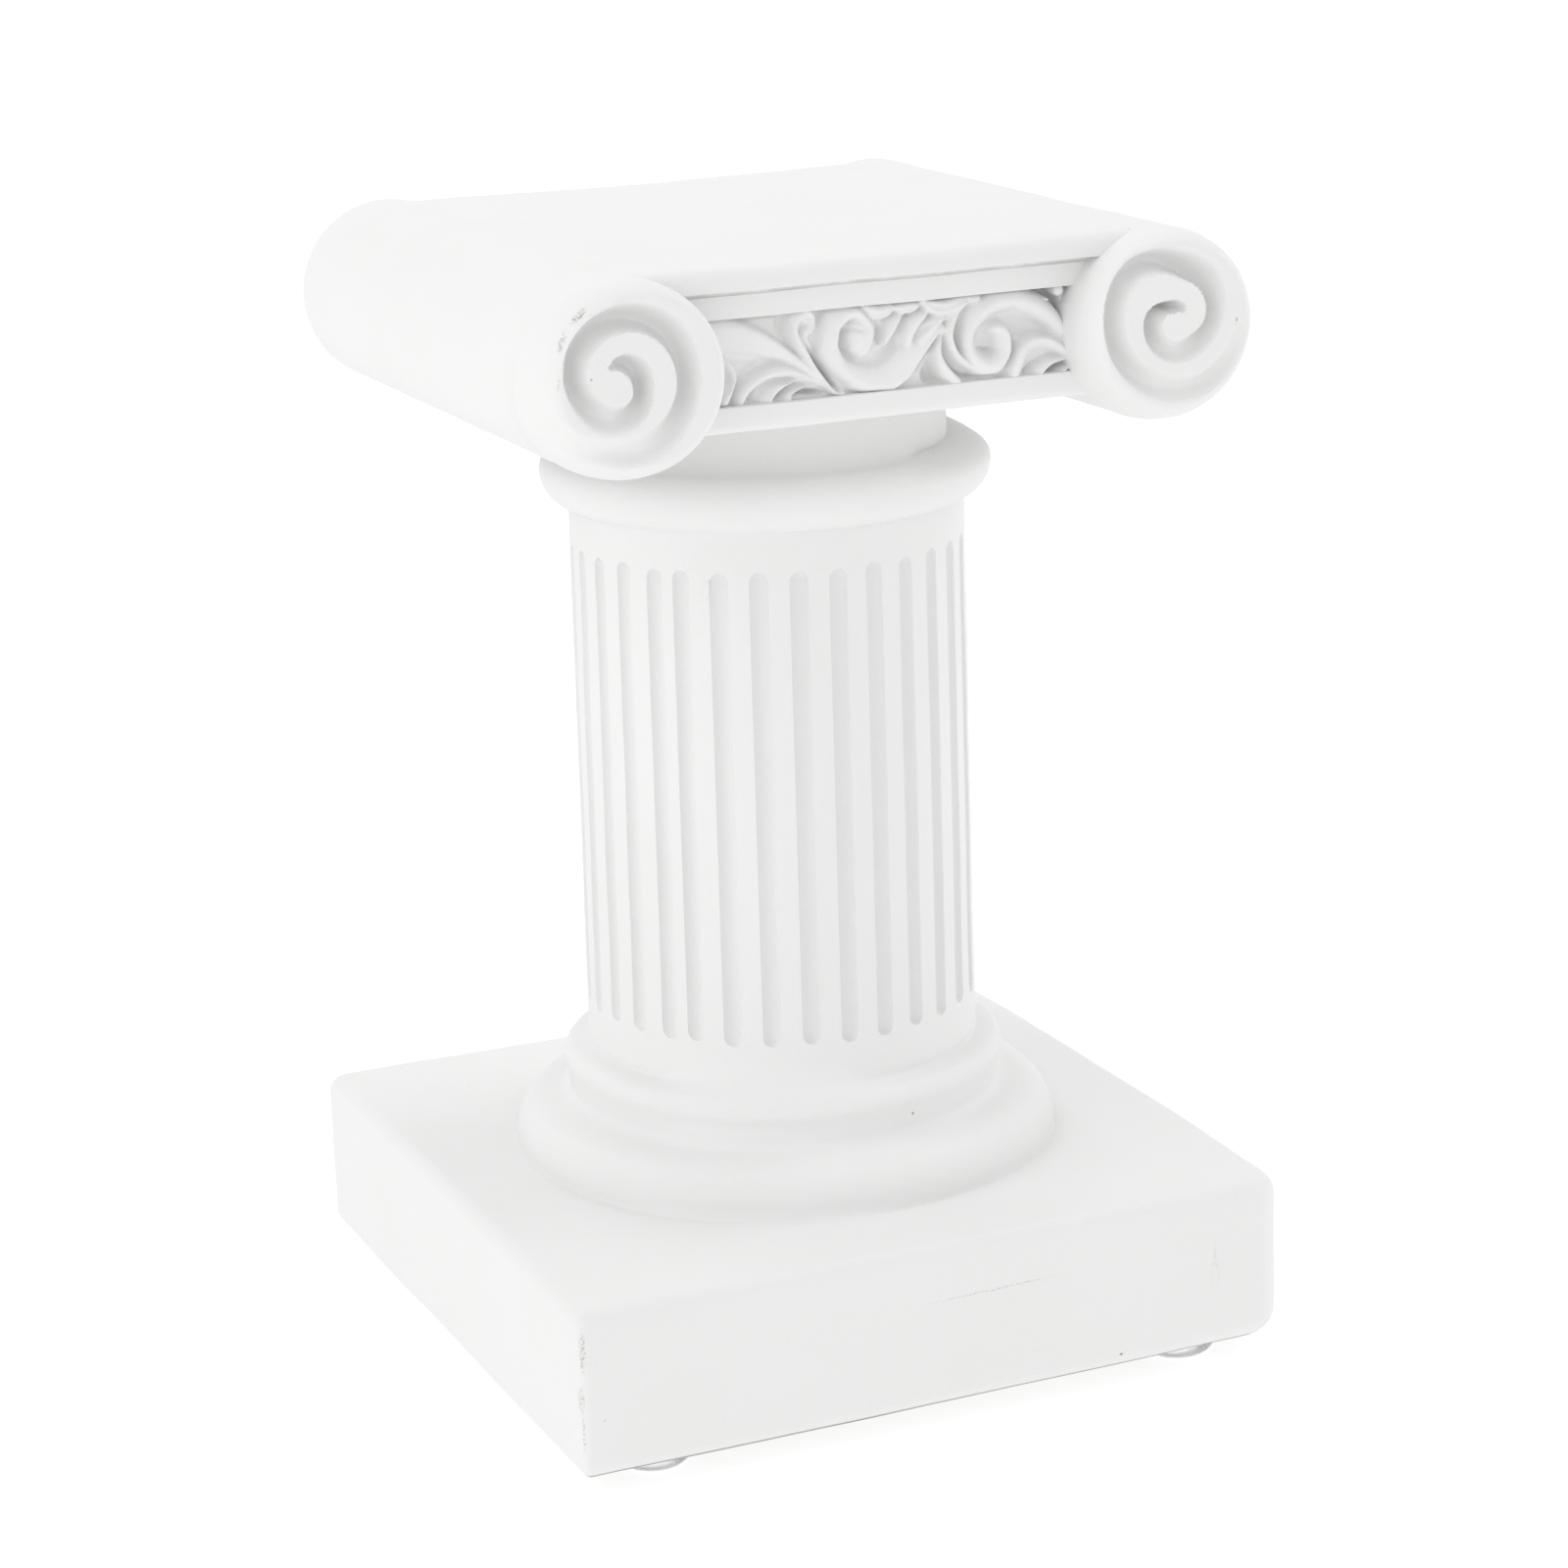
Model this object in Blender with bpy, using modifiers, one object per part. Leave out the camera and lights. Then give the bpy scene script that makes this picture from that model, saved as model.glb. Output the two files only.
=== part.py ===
"""Desk-size Roman column: one white plaster casting that stands on four clear bumper pads.

Blender 4.5, metres, +Z up. The origin is under the middle of the column, on the surface that it stands on.
The carved front faces -Y, and the two rolls of the capital run along Y.
"""

import math

import bmesh
import bpy

# Bumper pads, glued under the plinth with the dome down
PAD_DIAMETER = 0.0100
PAD_HEIGHT = 0.0022
PAD_FLAT_DIAMETER = 0.0056
PAD_RIM_HEIGHT = 0.0006
PAD_INSET_FROM_SIDES = 0.0125
PAD_INSET_FROM_FRONT = 0.0085
PAD_GLUE_GAP = 0.0003
PAD_STEPS = 16

# Plinth
PLINTH_SIDE = 0.1000
PLINTH_HEIGHT = 0.0225
PLINTH_CORNER_RADIUS = 0.0060
PLINTH_TOP_RADIUS = 0.0020
PLINTH_BOTTOM_RADIUS = 0.0030

# Base: a quarter round on the plinth, a small hollow, then a torus under the shaft
FOOT_RADIUS = 0.0365
FOOT_ROUND = 0.0060
FOOT_FILLET_HEIGHT = 0.0006
HOLLOW_RADIUS = 0.0280
HOLLOW_HEIGHT = 0.0010
TORUS_RADIUS = 0.0294
TORUS_LOWER_HEIGHT = 0.0037
TORUS_UPPER_HEIGHT = 0.0028

# Shaft
SHAFT_RADIUS_BOTTOM = 0.0262
SHAFT_RADIUS_TOP = 0.0259
SHAFT_HEIGHT = 0.0736

# Flutes: the mould had two halves, set a little out of step with each other
FLUTES_PER_HALF = 16
FLUTE_WIDTH = 0.0026
FLUTE_DEPTH = 0.0009
FLUTE_BELOW = 0.0059
FLUTE_ABOVE = 0.0051
SEAM_ANGLE = math.radians(217.0)
SEAM_HALF_GAP = math.radians(4.25)

# Echinus and neck
ECHINUS_RADIUS = 0.0295
ECHINUS_LOWER_HEIGHT = 0.0042
ECHINUS_UPPER_HEIGHT = 0.0029
NECK_RADIUS = 0.0238
NECK_HEIGHT = 0.0087

# Rolls of the capital
ROLL_RADIUS = 0.0121
ROLL_HALF_LENGTH = 0.0466
ROLL_SPACING = 0.0718
ROLL_BELOW_SLAB = 0.0036
ROLL_FRONT_ROUND = 0.0027
ROLL_FRONT_ROUND_LENGTH = 0.0084
ROLL_BACK_ROUND = 0.0037
ROLL_BACK_ROUND_LENGTH = 0.0045

# Slab between the rolls, with a frieze on its front
SLAB_BELOW_ROLL_TOP = 0.0001
FASCIA_DEPTH = 0.0816
FASCIA_HEIGHT = 0.0030
FASCIA_ROUND = 0.0012
LIP_DEPTH = 0.0778
LIP_HEIGHT = 0.0035
FRIEZE_FLOOR_DEPTH = 0.0738
BACK_PANEL_FLOOR_DEPTH = 0.0760
BAND_DEPTH = 0.0770
BAND_HEIGHT = 0.0033
BAND_ROUND = 0.0014

# Volute groove: values at each quarter turn, from the outer side and first downwards
VOLUTE_CENTRE_OUT = 0.0002
VOLUTE_CENTRE_UP = 0.0003
VOLUTE_RADII = (0.0098, 0.0079, 0.0080, 0.0082, 0.0065, 0.0036, 0.0026, 0.0029, 0.0023)
VOLUTE_WIDTHS = (0.0008, 0.0016, 0.0026, 0.0030, 0.0026, 0.0024, 0.0024, 0.0022, 0.0004)
VOLUTE_DEPTHS = (0.0003, 0.0008, 0.0018, 0.0022, 0.0022, 0.0016, 0.0020, 0.0016, 0.0003)
VOLUTE_TURNS = 1.83
VOLUTE_STEPS = 28

# Frieze carving: places are (right, up) from the middle of the slab's foot, seen from the front.
# A leaf is its root, its tip, how far its middle stands to the left of that line, its width and its height.
LEAVES = {
    "long_leaf": ((-0.0074, 0.0043), (-0.0224, 0.0128), -0.0017, 0.0026, 0.0020),
    "long_blade": ((-0.0077, 0.0043), (-0.0222, 0.0099), -0.0010, 0.0046, 0.0012),
    "arched_leaf": ((-0.0077, 0.0041), (-0.0196, 0.0036), -0.0029, 0.0026, 0.0017),
    "low_leaf": ((-0.0079, 0.0040), (-0.0157, 0.0036), -0.0017, 0.0019, 0.0014),
    "small_leaf": ((-0.0086, 0.0041), (-0.0130, 0.0036), -0.0009, 0.0014, 0.0012),
    "corner_curl": ((-0.0228, 0.0093), (-0.0222, 0.0041), 0.0019, 0.0013, 0.0014),
    "tendril": ((-0.0068, 0.0038), (-0.0121, 0.0119), 0.0004, 0.0010, 0.0015),
    "tail_blade": ((-0.0031, 0.0072), (0.0064, 0.0102), 0.0010, 0.0060, 0.0011),
    "finger_low": ((-0.0003, 0.0096), (0.0017, 0.0124), 0.0003, 0.0018, 0.0017),
    "finger_middle": ((0.0023, 0.0091), (0.0055, 0.0119), 0.0006, 0.0018, 0.0017),
    "finger_high": ((0.0047, 0.0086), (0.0081, 0.0113), 0.0003, 0.0015, 0.0016),
    "top_leaf": ((0.0046, 0.0139), (0.0110, 0.0134), -0.0010, 0.0013, 0.0018),
    "spine_leaf": ((0.0085, 0.0036), (0.0074, 0.0100), 0.0010, 0.0021, 0.0015),
    "right_leaf": ((0.0163, 0.0035), (0.0248, 0.0062), 0.0021, 0.0024, 0.0018),
    "right_low_leaf": ((0.0190, 0.0034), (0.0253, 0.0052), 0.0007, 0.0018, 0.0014),
    "right_small_leaf": ((0.0212, 0.0033), (0.0253, 0.0045), 0.0003, 0.0012, 0.0011),
}
LEAF_STEPS = 5
# A petal hangs from the lip: its middle, its width and how far it hangs.
PETALS = {
    "petal_left": (-0.0012, 0.0038, 0.0020),
    "petal_right": (0.0026, 0.0034, 0.0016),
}
PETAL_HEIGHT = 0.0019
PETAL_STEPS = 8
# A scroll is its centre, its first angle, its radius at each eighth of a turn, its way round, width and height.
SCROLLS = {
    "left_scroll": (
        (-0.0043, 0.0099),
        math.radians(0.0),
        (0.0109, 0.0066, 0.0048, 0.0033, 0.0027, 0.0028, 0.0030, 0.0026, 0.0023, 0.0017, 0.0008),
        -1,
        0.0023,
        0.0021,
    ),
    "right_scroll": (
        (0.0140, 0.0085),
        math.radians(0.0),
        (0.0100, 0.0057, 0.0039, 0.0033, 0.0033, 0.0034, 0.0034, 0.0031, 0.0024, 0.0014),
        1,
        0.0022,
        0.0021,
    ),
    "tendril_hook": (
        (-0.0109, 0.0126),
        math.radians(212.0),
        (0.0014, 0.0013, 0.0013, 0.0012, 0.0013, 0.0015, 0.0017),
        -1,
        0.0009,
        0.0016,
    ),
}
SCROLL_STEPS_PER_EIGHTH = 2
# The stem that runs round the right scroll
STEM_CENTRE = (0.0136, 0.0088)
STEM_RADIUS = 0.0048
STEM_FROM = math.radians(133.0)
STEM_TO = math.radians(264.0)
STEM_WIDTH = 0.0014
STEM_HEIGHT = 0.0017
STEM_STEPS = 8
BALL_PLACE = (0.0232, 0.0134)
BALL_RADIUS = 0.0006

# Cross-sections, as shares of half the width and of the depth or height
GROOVE_SECTION = ((-1.0, 0.0), (-0.62, 0.75), (0.0, 1.0), (0.62, 0.75), (1.0, 0.0))
RIDGE_SECTION = ((-0.8, 0.6), (0.0, 1.0), (0.8, 0.6))
PETAL_SECTION = ((1.0, 0.5), (0.7, 1.0))
# Angles round a flute cutter, counted from its deepest line
FLUTE_SECTION = tuple(math.radians(a) for a in (0, 38, 80, 130, 230, 280, 322))
FLUTE_END_RISE = tuple(math.radians(a) for a in (85, 45, 0))
# Where along a half wave a leaf and a scroll begin and end, and how much of their height the ends keep
LEAF_SWELL = (0.15, 0.90)
LEAF_END_HEIGHT = 0.4
SCROLL_SWELL = (0.12, 0.82)
SCROLL_END_HEIGHT = 0.5

# Fineness of the round shapes, and how far joined shapes run into each other
TURNED_STEPS = 48
ROLL_STEPS = 32
CURVE_STEPS = 4
JOIN = 0.0005

# Heights that follow from the sizes above
PLINTH_BOTTOM_Z = PAD_HEIGHT + PAD_GLUE_GAP
PLINTH_TOP_Z = PLINTH_BOTTOM_Z + PLINTH_HEIGHT
HOLLOW_BOTTOM_Z = PLINTH_TOP_Z + FOOT_FILLET_HEIGHT + FOOT_ROUND
HOLLOW_TOP_Z = HOLLOW_BOTTOM_Z + HOLLOW_HEIGHT
TORUS_MIDDLE_Z = HOLLOW_TOP_Z + TORUS_LOWER_HEIGHT
SHAFT_BOTTOM_Z = TORUS_MIDDLE_Z + TORUS_UPPER_HEIGHT
SHAFT_TOP_Z = SHAFT_BOTTOM_Z + SHAFT_HEIGHT
ECHINUS_MIDDLE_Z = SHAFT_TOP_Z + ECHINUS_LOWER_HEIGHT
NECK_BOTTOM_Z = ECHINUS_MIDDLE_Z + ECHINUS_UPPER_HEIGHT
SLAB_BOTTOM_Z = NECK_BOTTOM_Z + NECK_HEIGHT
ROLL_Z = SLAB_BOTTOM_Z - ROLL_BELOW_SLAB + ROLL_RADIUS
SLAB_TOP_Z = ROLL_Z + ROLL_RADIUS - SLAB_BELOW_ROLL_TOP
LIP_TOP_Z = SLAB_TOP_Z - FASCIA_HEIGHT
FRIEZE_TOP_Z = LIP_TOP_Z - LIP_HEIGHT
FRIEZE_BOTTOM_Z = SLAB_BOTTOM_Z + BAND_HEIGHT


def clear_scene():
    for obj in list(bpy.data.objects):
        bpy.data.objects.remove(obj, do_unlink=True)


def new_collection(name, helpers):
    """A collection for pieces, or for helper shapes that no render shows."""
    collection = bpy.data.collections.new(name)
    collection.hide_render = helpers
    bpy.context.scene.collection.children.link(collection)
    return collection


def new_object(name, mesh, collection, smooth):
    obj = bpy.data.objects.new(name, mesh)
    collection.objects.link(obj)
    mesh.shade_smooth() if smooth else mesh.shade_flat()
    if collection.hide_render:
        obj.hide_render = True
        obj.display_type = "WIRE"
    return obj


def material(name, colour, roughness, transmission=0.0):
    made = bpy.data.materials.new(name)
    made.use_nodes = True
    shader = made.node_tree.nodes["Principled BSDF"]
    shader.inputs["Base Color"].default_value = (*colour, 1.0)
    shader.inputs["Roughness"].default_value = roughness
    shader.inputs["Transmission Weight"].default_value = transmission
    return made


def screw_object(name, profile, steps, collection):
    """A turned shape from (radius, height) points that run from top to bottom on its outer side."""
    mesh = bpy.data.meshes.new(name)
    edges = [(i, i + 1) for i in range(len(profile) - 1)]
    mesh.from_pydata([(r, 0.0, z) for r, z in profile], edges, [])
    obj = new_object(name, mesh, collection, True)
    screw = obj.modifiers.new("Turn", "SCREW")
    screw.steps = steps
    screw.render_steps = steps
    screw.use_smooth_shade = True
    screw.use_merge_vertices = True
    screw.merge_threshold = 0.00001
    return obj


def quarter(start, end, steps, round_first):
    """Points after start of a quarter ellipse to end. It leaves start along the radius if round_first is true."""
    points = []
    for i in range(1, steps + 1):
        angle = math.pi / 2 * i / steps
        along = math.sin(angle)
        across = 1.0 - math.cos(angle)
        r_share, z_share = (along, across) if round_first else (across, along)
        points.append((start[0] + (end[0] - start[0]) * r_share, start[1] + (end[1] - start[1]) * z_share))
    return points


def body_profile():
    """Outline of everything turned, from inside the slab down to inside the plinth."""
    profile = [(0.0, SLAB_BOTTOM_Z + JOIN), (NECK_RADIUS, SLAB_BOTTOM_Z + JOIN), (NECK_RADIUS, NECK_BOTTOM_Z)]
    profile += quarter(profile[-1], (ECHINUS_RADIUS, ECHINUS_MIDDLE_Z), CURVE_STEPS, True)
    profile += quarter(profile[-1], (SHAFT_RADIUS_TOP, SHAFT_TOP_Z), CURVE_STEPS, False)
    profile.append((SHAFT_RADIUS_BOTTOM, SHAFT_BOTTOM_Z))
    profile += quarter(profile[-1], (TORUS_RADIUS, TORUS_MIDDLE_Z), CURVE_STEPS, True)
    profile += quarter(profile[-1], (HOLLOW_RADIUS, HOLLOW_TOP_Z), CURVE_STEPS, False)
    profile += quarter(profile[-1], (FOOT_RADIUS - FOOT_ROUND, HOLLOW_BOTTOM_Z), 2, False)
    profile += quarter(profile[-1], (FOOT_RADIUS, HOLLOW_BOTTOM_Z - FOOT_ROUND), CURVE_STEPS, True)
    profile += [(FOOT_RADIUS, PLINTH_TOP_Z - JOIN), (0.0, PLINTH_TOP_Z - JOIN)]
    return profile


def plinth_object(collection):
    """A block whose upright edges, top edges and bottom edges each have their own radius."""
    bm = bmesh.new()
    bmesh.ops.create_cube(bm, size=1.0)
    for vert in bm.verts:
        vert.co.x *= PLINTH_SIDE
        vert.co.y *= PLINTH_SIDE
        vert.co.z = PLINTH_TOP_Z if vert.co.z > 0 else PLINTH_BOTTOM_Z
    upright = [edge for edge in bm.edges if edge.verts[0].co.z != edge.verts[1].co.z]
    bmesh.ops.bevel(bm, geom=upright, offset=PLINTH_CORNER_RADIUS, segments=5, profile=0.5, affect="EDGES")
    for level, radius, segments in ((PLINTH_TOP_Z, PLINTH_TOP_RADIUS, 2), (PLINTH_BOTTOM_Z, PLINTH_BOTTOM_RADIUS, 3)):
        rim = [edge for edge in bm.edges if all(abs(vert.co.z - level) < 1e-6 for vert in edge.verts)]
        bmesh.ops.bevel(bm, geom=rim, offset=radius, segments=segments, profile=0.5, affect="EDGES")
    mesh = bpy.data.meshes.new("column_casting")
    bm.to_mesh(mesh)
    bm.free()
    return new_object("column_casting", mesh, collection, False)


def swept_mesh(name, sections):
    """A closed mesh through sections that have the same number of points, with a cap on each end."""
    bm = bmesh.new()
    rings = [[bm.verts.new(point) for point in section] for section in sections]
    count = len(sections[0])
    for first, second in zip(rings, rings[1:]):
        for i in range(count):
            j = (i + 1) % count
            bm.faces.new((first[i], first[j], second[j], second[i]))
    bm.faces.new(rings[0])
    bm.faces.new(rings[-1])
    bmesh.ops.recalc_face_normals(bm, faces=bm.faces[:])
    mesh = bpy.data.meshes.new(name)
    bm.to_mesh(mesh)
    bm.free()
    return mesh


def flute_angles():
    """Flutes of the front half of the mould, then of the back half; both count away from the seam."""
    pitch = 2.0 * math.pi / (2 * FLUTES_PER_HALF)
    front = [SEAM_ANGLE + SEAM_HALF_GAP + pitch * i for i in range(FLUTES_PER_HALF)]
    back = [SEAM_ANGLE - SEAM_HALF_GAP - pitch * i for i in range(FLUTES_PER_HALF)]
    return front + back


def flute_cutter(angle, collection):
    """A long bar with round ends, sunk into the shaft by the flute's depth."""
    radius = ((FLUTE_WIDTH / 2) ** 2 + FLUTE_DEPTH**2) / (2 * FLUTE_DEPTH)
    shaft = (SHAFT_RADIUS_BOTTOM + SHAFT_RADIUS_TOP) / 2
    axis = shaft - FLUTE_DEPTH + radius
    low = SHAFT_BOTTOM_Z + FLUTE_BELOW + radius
    high = SHAFT_TOP_Z - FLUTE_ABOVE - radius
    ends = [(low - radius * math.sin(rise), rise) for rise in FLUTE_END_RISE]
    ends += [(high + radius * math.sin(rise), rise) for rise in reversed(FLUTE_END_RISE)]
    sections = []
    for z, rise in ends:
        points = []
        for around in FLUTE_SECTION:
            out = axis - radius * math.cos(rise) * math.cos(around)
            side = radius * math.cos(rise) * math.sin(around)
            x = out * math.cos(angle) - side * math.sin(angle)
            y = out * math.sin(angle) + side * math.cos(angle)
            points.append((x, y, z))
        sections.append(points)
    return new_object("flute_cutter", swept_mesh("flute_cutter", sections), collection, True)


def roll_profile():
    """Outline of a roll standing on its back end, from its front end down."""
    front = (ROLL_RADIUS - ROLL_FRONT_ROUND, ROLL_HALF_LENGTH)
    back = (ROLL_RADIUS, ROLL_BACK_ROUND_LENGTH - ROLL_HALF_LENGTH)
    profile = [(0.0, front[1]), front]
    profile += quarter(front, (ROLL_RADIUS, ROLL_HALF_LENGTH - ROLL_FRONT_ROUND_LENGTH), CURVE_STEPS, True)
    profile.append(back)
    profile += quarter(back, (ROLL_RADIUS - ROLL_BACK_ROUND, -ROLL_HALF_LENGTH), CURVE_STEPS - 1, False)
    profile.append((0.0, -ROLL_HALF_LENGTH))
    return profile


def roll_object(name, side, collection):
    obj = screw_object(name, roll_profile(), ROLL_STEPS, collection)
    obj.rotation_euler.x = math.pi / 2
    obj.location = (side * ROLL_SPACING / 2, 0.0, ROLL_Z)
    return obj


def smooth_value(values, place):
    """The value at a place among evenly spaced ones, on a smooth curve through all of them."""
    last = len(values) - 1
    i = min(int(place), last - 1)
    t = place - i
    before, here, after, beyond = (values[min(max(k, 0), last)] for k in (i - 1, i, i + 1, i + 2))
    slope_here = (after - before) / 2
    slope_after = (beyond - here) / 2
    step = 3 * t**2 - 2 * t**3
    return here + (after - here) * step + slope_here * (t**3 - 2 * t**2 + t) + slope_after * (t**3 - t**2)


def path_normals(path):
    """Unit vectors square to a path in the plane, pointing to its left."""
    normals = []
    for i in range(len(path)):
        before = path[max(i - 1, 0)]
        after = path[min(i + 1, len(path) - 1)]
        dx = after[0] - before[0]
        dz = after[1] - before[1]
        length = math.hypot(dx, dz)
        normals.append((-dz / length, dx / length))
    return normals


def volute_cutter(side, front, collection):
    """The spiral groove of one roll end. side is -1 on the left, front is -1 at the front."""
    path = []
    shape = []
    last = len(VOLUTE_RADII) - 1
    for i in range(VOLUTE_STEPS + 1):
        share = i / VOLUTE_STEPS
        angle = -2 * math.pi * VOLUTE_TURNS * share
        place = last * share
        radius = smooth_value(VOLUTE_RADII, place)
        path.append((VOLUTE_CENTRE_OUT + radius * math.cos(angle), VOLUTE_CENTRE_UP + radius * math.sin(angle)))
        shape.append((smooth_value(VOLUTE_WIDTHS, place) / 2, smooth_value(VOLUTE_DEPTHS, place)))
    sections = []
    for (out, up), (nx, nz), (half, depth) in zip(path, path_normals(path), shape):
        cuts = [(across, depth * share) for across, share in GROOVE_SECTION]
        section = []
        for across, down in [(-1.0, -JOIN), *cuts, (1.0, -JOIN)]:
            x = side * (ROLL_SPACING / 2 + out + nx * half * across)
            z = ROLL_Z + up + nz * half * across
            section.append((x, front * (ROLL_HALF_LENGTH - down), z))
        sections.append(section)
    return new_object("volute_cutter", swept_mesh("volute_cutter", sections), collection, True)


def slab_profile():
    """Outline of the slab seen from its side, as (depth, height), with the frieze towards -Y."""
    points = []
    for front, floor in ((-1, FRIEZE_FLOOR_DEPTH), (1, BACK_PANEL_FLOOR_DEPTH)):
        top = [(FASCIA_DEPTH / 2, LIP_TOP_Z), (FASCIA_DEPTH / 2, SLAB_TOP_Z - FASCIA_ROUND)]
        top += quarter(top[-1], (FASCIA_DEPTH / 2 - FASCIA_ROUND, SLAB_TOP_Z), 3, False)
        foot = [(BAND_DEPTH / 2 - BAND_ROUND, SLAB_BOTTOM_Z)]
        foot += quarter(foot[-1], (BAND_DEPTH / 2, SLAB_BOTTOM_Z + BAND_ROUND), 3, True)
        face = [(BAND_DEPTH / 2, FRIEZE_BOTTOM_Z), (floor / 2, FRIEZE_BOTTOM_Z), (floor / 2, FRIEZE_TOP_Z)]
        face += [(LIP_DEPTH / 2, FRIEZE_TOP_Z), (LIP_DEPTH / 2, LIP_TOP_Z)]
        half = [(front * y, z) for y, z in foot + face + top]
        points += half if front < 0 else half[::-1]
    return points


def slab_object(collection):
    sections = [[(x, y, z) for y, z in slab_profile()] for x in (-ROLL_SPACING / 2, ROLL_SPACING / 2)]
    return new_object("slab", swept_mesh("slab", sections), collection, False)


def carved_stroke(name, path, widths, heights, collection):
    """A raised stroke on the frieze's floor along (right, up) points, with a ridge down its middle."""
    sections = []
    for (right, up), (nx, nz), width, height in zip(path, path_normals(path), widths, heights):
        crest = [(across, height * share) for across, share in RIDGE_SECTION]
        section = []
        for across, rise in [(-1.0, -JOIN), *crest, (1.0, -JOIN)]:
            x = right + nx * width / 2 * across
            z = SLAB_BOTTOM_Z + up + nz * width / 2 * across
            section.append((x, -FRIEZE_FLOOR_DEPTH / 2 - rise, z))
        sections.append(section)
    return new_object(name, swept_mesh(name, sections), collection, True)


def leaf_object(name, root, tip, bend, width, height, collection):
    """A leaf from root to tip along a bent line: widest near its middle and lowest at its ends."""
    dx = tip[0] - root[0]
    dz = tip[1] - root[1]
    length = math.hypot(dx, dz)
    control = (root[0] + dx / 2 - 2 * bend * dz / length, root[1] + dz / 2 + 2 * bend * dx / length)
    path = []
    widths = []
    heights = []
    for i in range(LEAF_STEPS + 1):
        t = i / LEAF_STEPS
        path.append(tuple((1 - t) ** 2 * a + 2 * t * (1 - t) * b + t**2 * c for a, b, c in zip(root, control, tip)))
        swell = math.sin(math.pi * (LEAF_SWELL[0] + (LEAF_SWELL[1] - LEAF_SWELL[0]) * t))
        widths.append(width * swell)
        heights.append(height * (LEAF_END_HEIGHT + (1 - LEAF_END_HEIGHT) * swell))
    return carved_stroke(name, path, widths, heights, collection)


def scroll_object(name, centre, first_angle, radii, way, width, height, collection):
    """A scroll that winds in from its first angle, thinning towards both ends."""
    path = []
    widths = []
    heights = []
    last = (len(radii) - 1) * SCROLL_STEPS_PER_EIGHTH
    for i in range(last + 1):
        place = i / SCROLL_STEPS_PER_EIGHTH
        angle = first_angle + way * math.pi / 4 * place
        radius = smooth_value(radii, place)
        path.append((centre[0] + radius * math.cos(angle), centre[1] + radius * math.sin(angle)))
        swell = math.sin(math.pi * (SCROLL_SWELL[0] + (SCROLL_SWELL[1] - SCROLL_SWELL[0]) * i / last))
        widths.append(width * swell)
        heights.append(height * (SCROLL_END_HEIGHT + (1 - SCROLL_END_HEIGHT) * swell))
    return carved_stroke(name, path, widths, heights, collection)


def stem_object(collection):
    path = []
    for i in range(STEM_STEPS + 1):
        angle = STEM_FROM + (STEM_TO - STEM_FROM) * i / STEM_STEPS
        path.append((STEM_CENTRE[0] + STEM_RADIUS * math.cos(angle), STEM_CENTRE[1] + STEM_RADIUS * math.sin(angle)))
    count = len(path)
    return carved_stroke("stem", path, [STEM_WIDTH] * count, [STEM_HEIGHT] * count, collection)


def petal_object(name, middle, width, hang, collection):
    """A half-round petal under the lip, with a rounded edge."""
    top = FRIEZE_TOP_Z + JOIN
    sections = []
    for share, rise in [(1.0, -JOIN)] + [(share, PETAL_HEIGHT * rise) for share, rise in PETAL_SECTION]:
        ring = []
        for i in range(PETAL_STEPS + 1):
            angle = math.pi * i / PETAL_STEPS
            x = middle + width / 2 * share * math.cos(angle)
            z = top - (hang * share + JOIN) * math.sin(angle)
            ring.append((x, -FRIEZE_FLOOR_DEPTH / 2 - rise, z))
        sections.append(ring)
    return new_object(name, swept_mesh(name, sections), collection, True)


def ball_object(collection):
    bm = bmesh.new()
    bmesh.ops.create_icosphere(bm, subdivisions=1, radius=BALL_RADIUS)
    mesh = bpy.data.meshes.new("ball")
    bm.to_mesh(mesh)
    bm.free()
    obj = new_object("ball", mesh, collection, True)
    obj.location = (BALL_PLACE[0], -FRIEZE_FLOOR_DEPTH / 2 - BALL_RADIUS / 2, SLAB_BOTTOM_Z + BALL_PLACE[1])
    return obj


def combine(obj, operation, other, solver):
    """Joins or cuts the object with another one, or with every object of a collection."""
    modifier = obj.modifiers.new(other.name, "BOOLEAN")
    modifier.operation = operation
    modifier.solver = solver
    if isinstance(other, bpy.types.Collection):
        modifier.operand_type = "COLLECTION"
        modifier.collection = other
    else:
        modifier.object = other


def column_object(collection, plaster):
    column = plinth_object(collection)
    body_shapes = new_collection("body_shapes", True)
    body = screw_object("turned_body", body_profile(), TURNED_STEPS, body_shapes)
    combine(column, "UNION", body, "EXACT")

    flutes = new_collection("flute_cutters", True)
    for angle in flute_angles():
        flute_cutter(angle, flutes)
    combine(column, "DIFFERENCE", flutes, "EXACT")

    # From here on the shapes meet in long shallow seams, where the exact solver leaves open edges.
    combine(column, "UNION", slab_object(body_shapes), "MANIFOLD")
    for side, word in ((-1, "left"), (1, "right")):
        combine(column, "UNION", roll_object(f"roll_{word}", side, body_shapes), "MANIFOLD")

    volutes = new_collection("volute_cutters", True)
    for side in (-1, 1):
        for front in (-1, 1):
            volute_cutter(side, front, volutes)
    combine(column, "DIFFERENCE", volutes, "MANIFOLD")

    carving = new_collection("frieze_carving", True)
    for name, (root, tip, bend, width, height) in LEAVES.items():
        leaf_object(name, root, tip, bend, width, height, carving)
    for name, (centre, first_angle, radii, way, width, height) in SCROLLS.items():
        scroll_object(name, centre, first_angle, radii, way, width, height, carving)
    for name, (middle, width, hang) in PETALS.items():
        petal_object(name, middle, width, hang, carving)
    stem_object(carving)
    ball_object(carving)
    combine(column, "UNION", carving, "MANIFOLD")
    column.data.materials.append(plaster)
    return column


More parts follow.
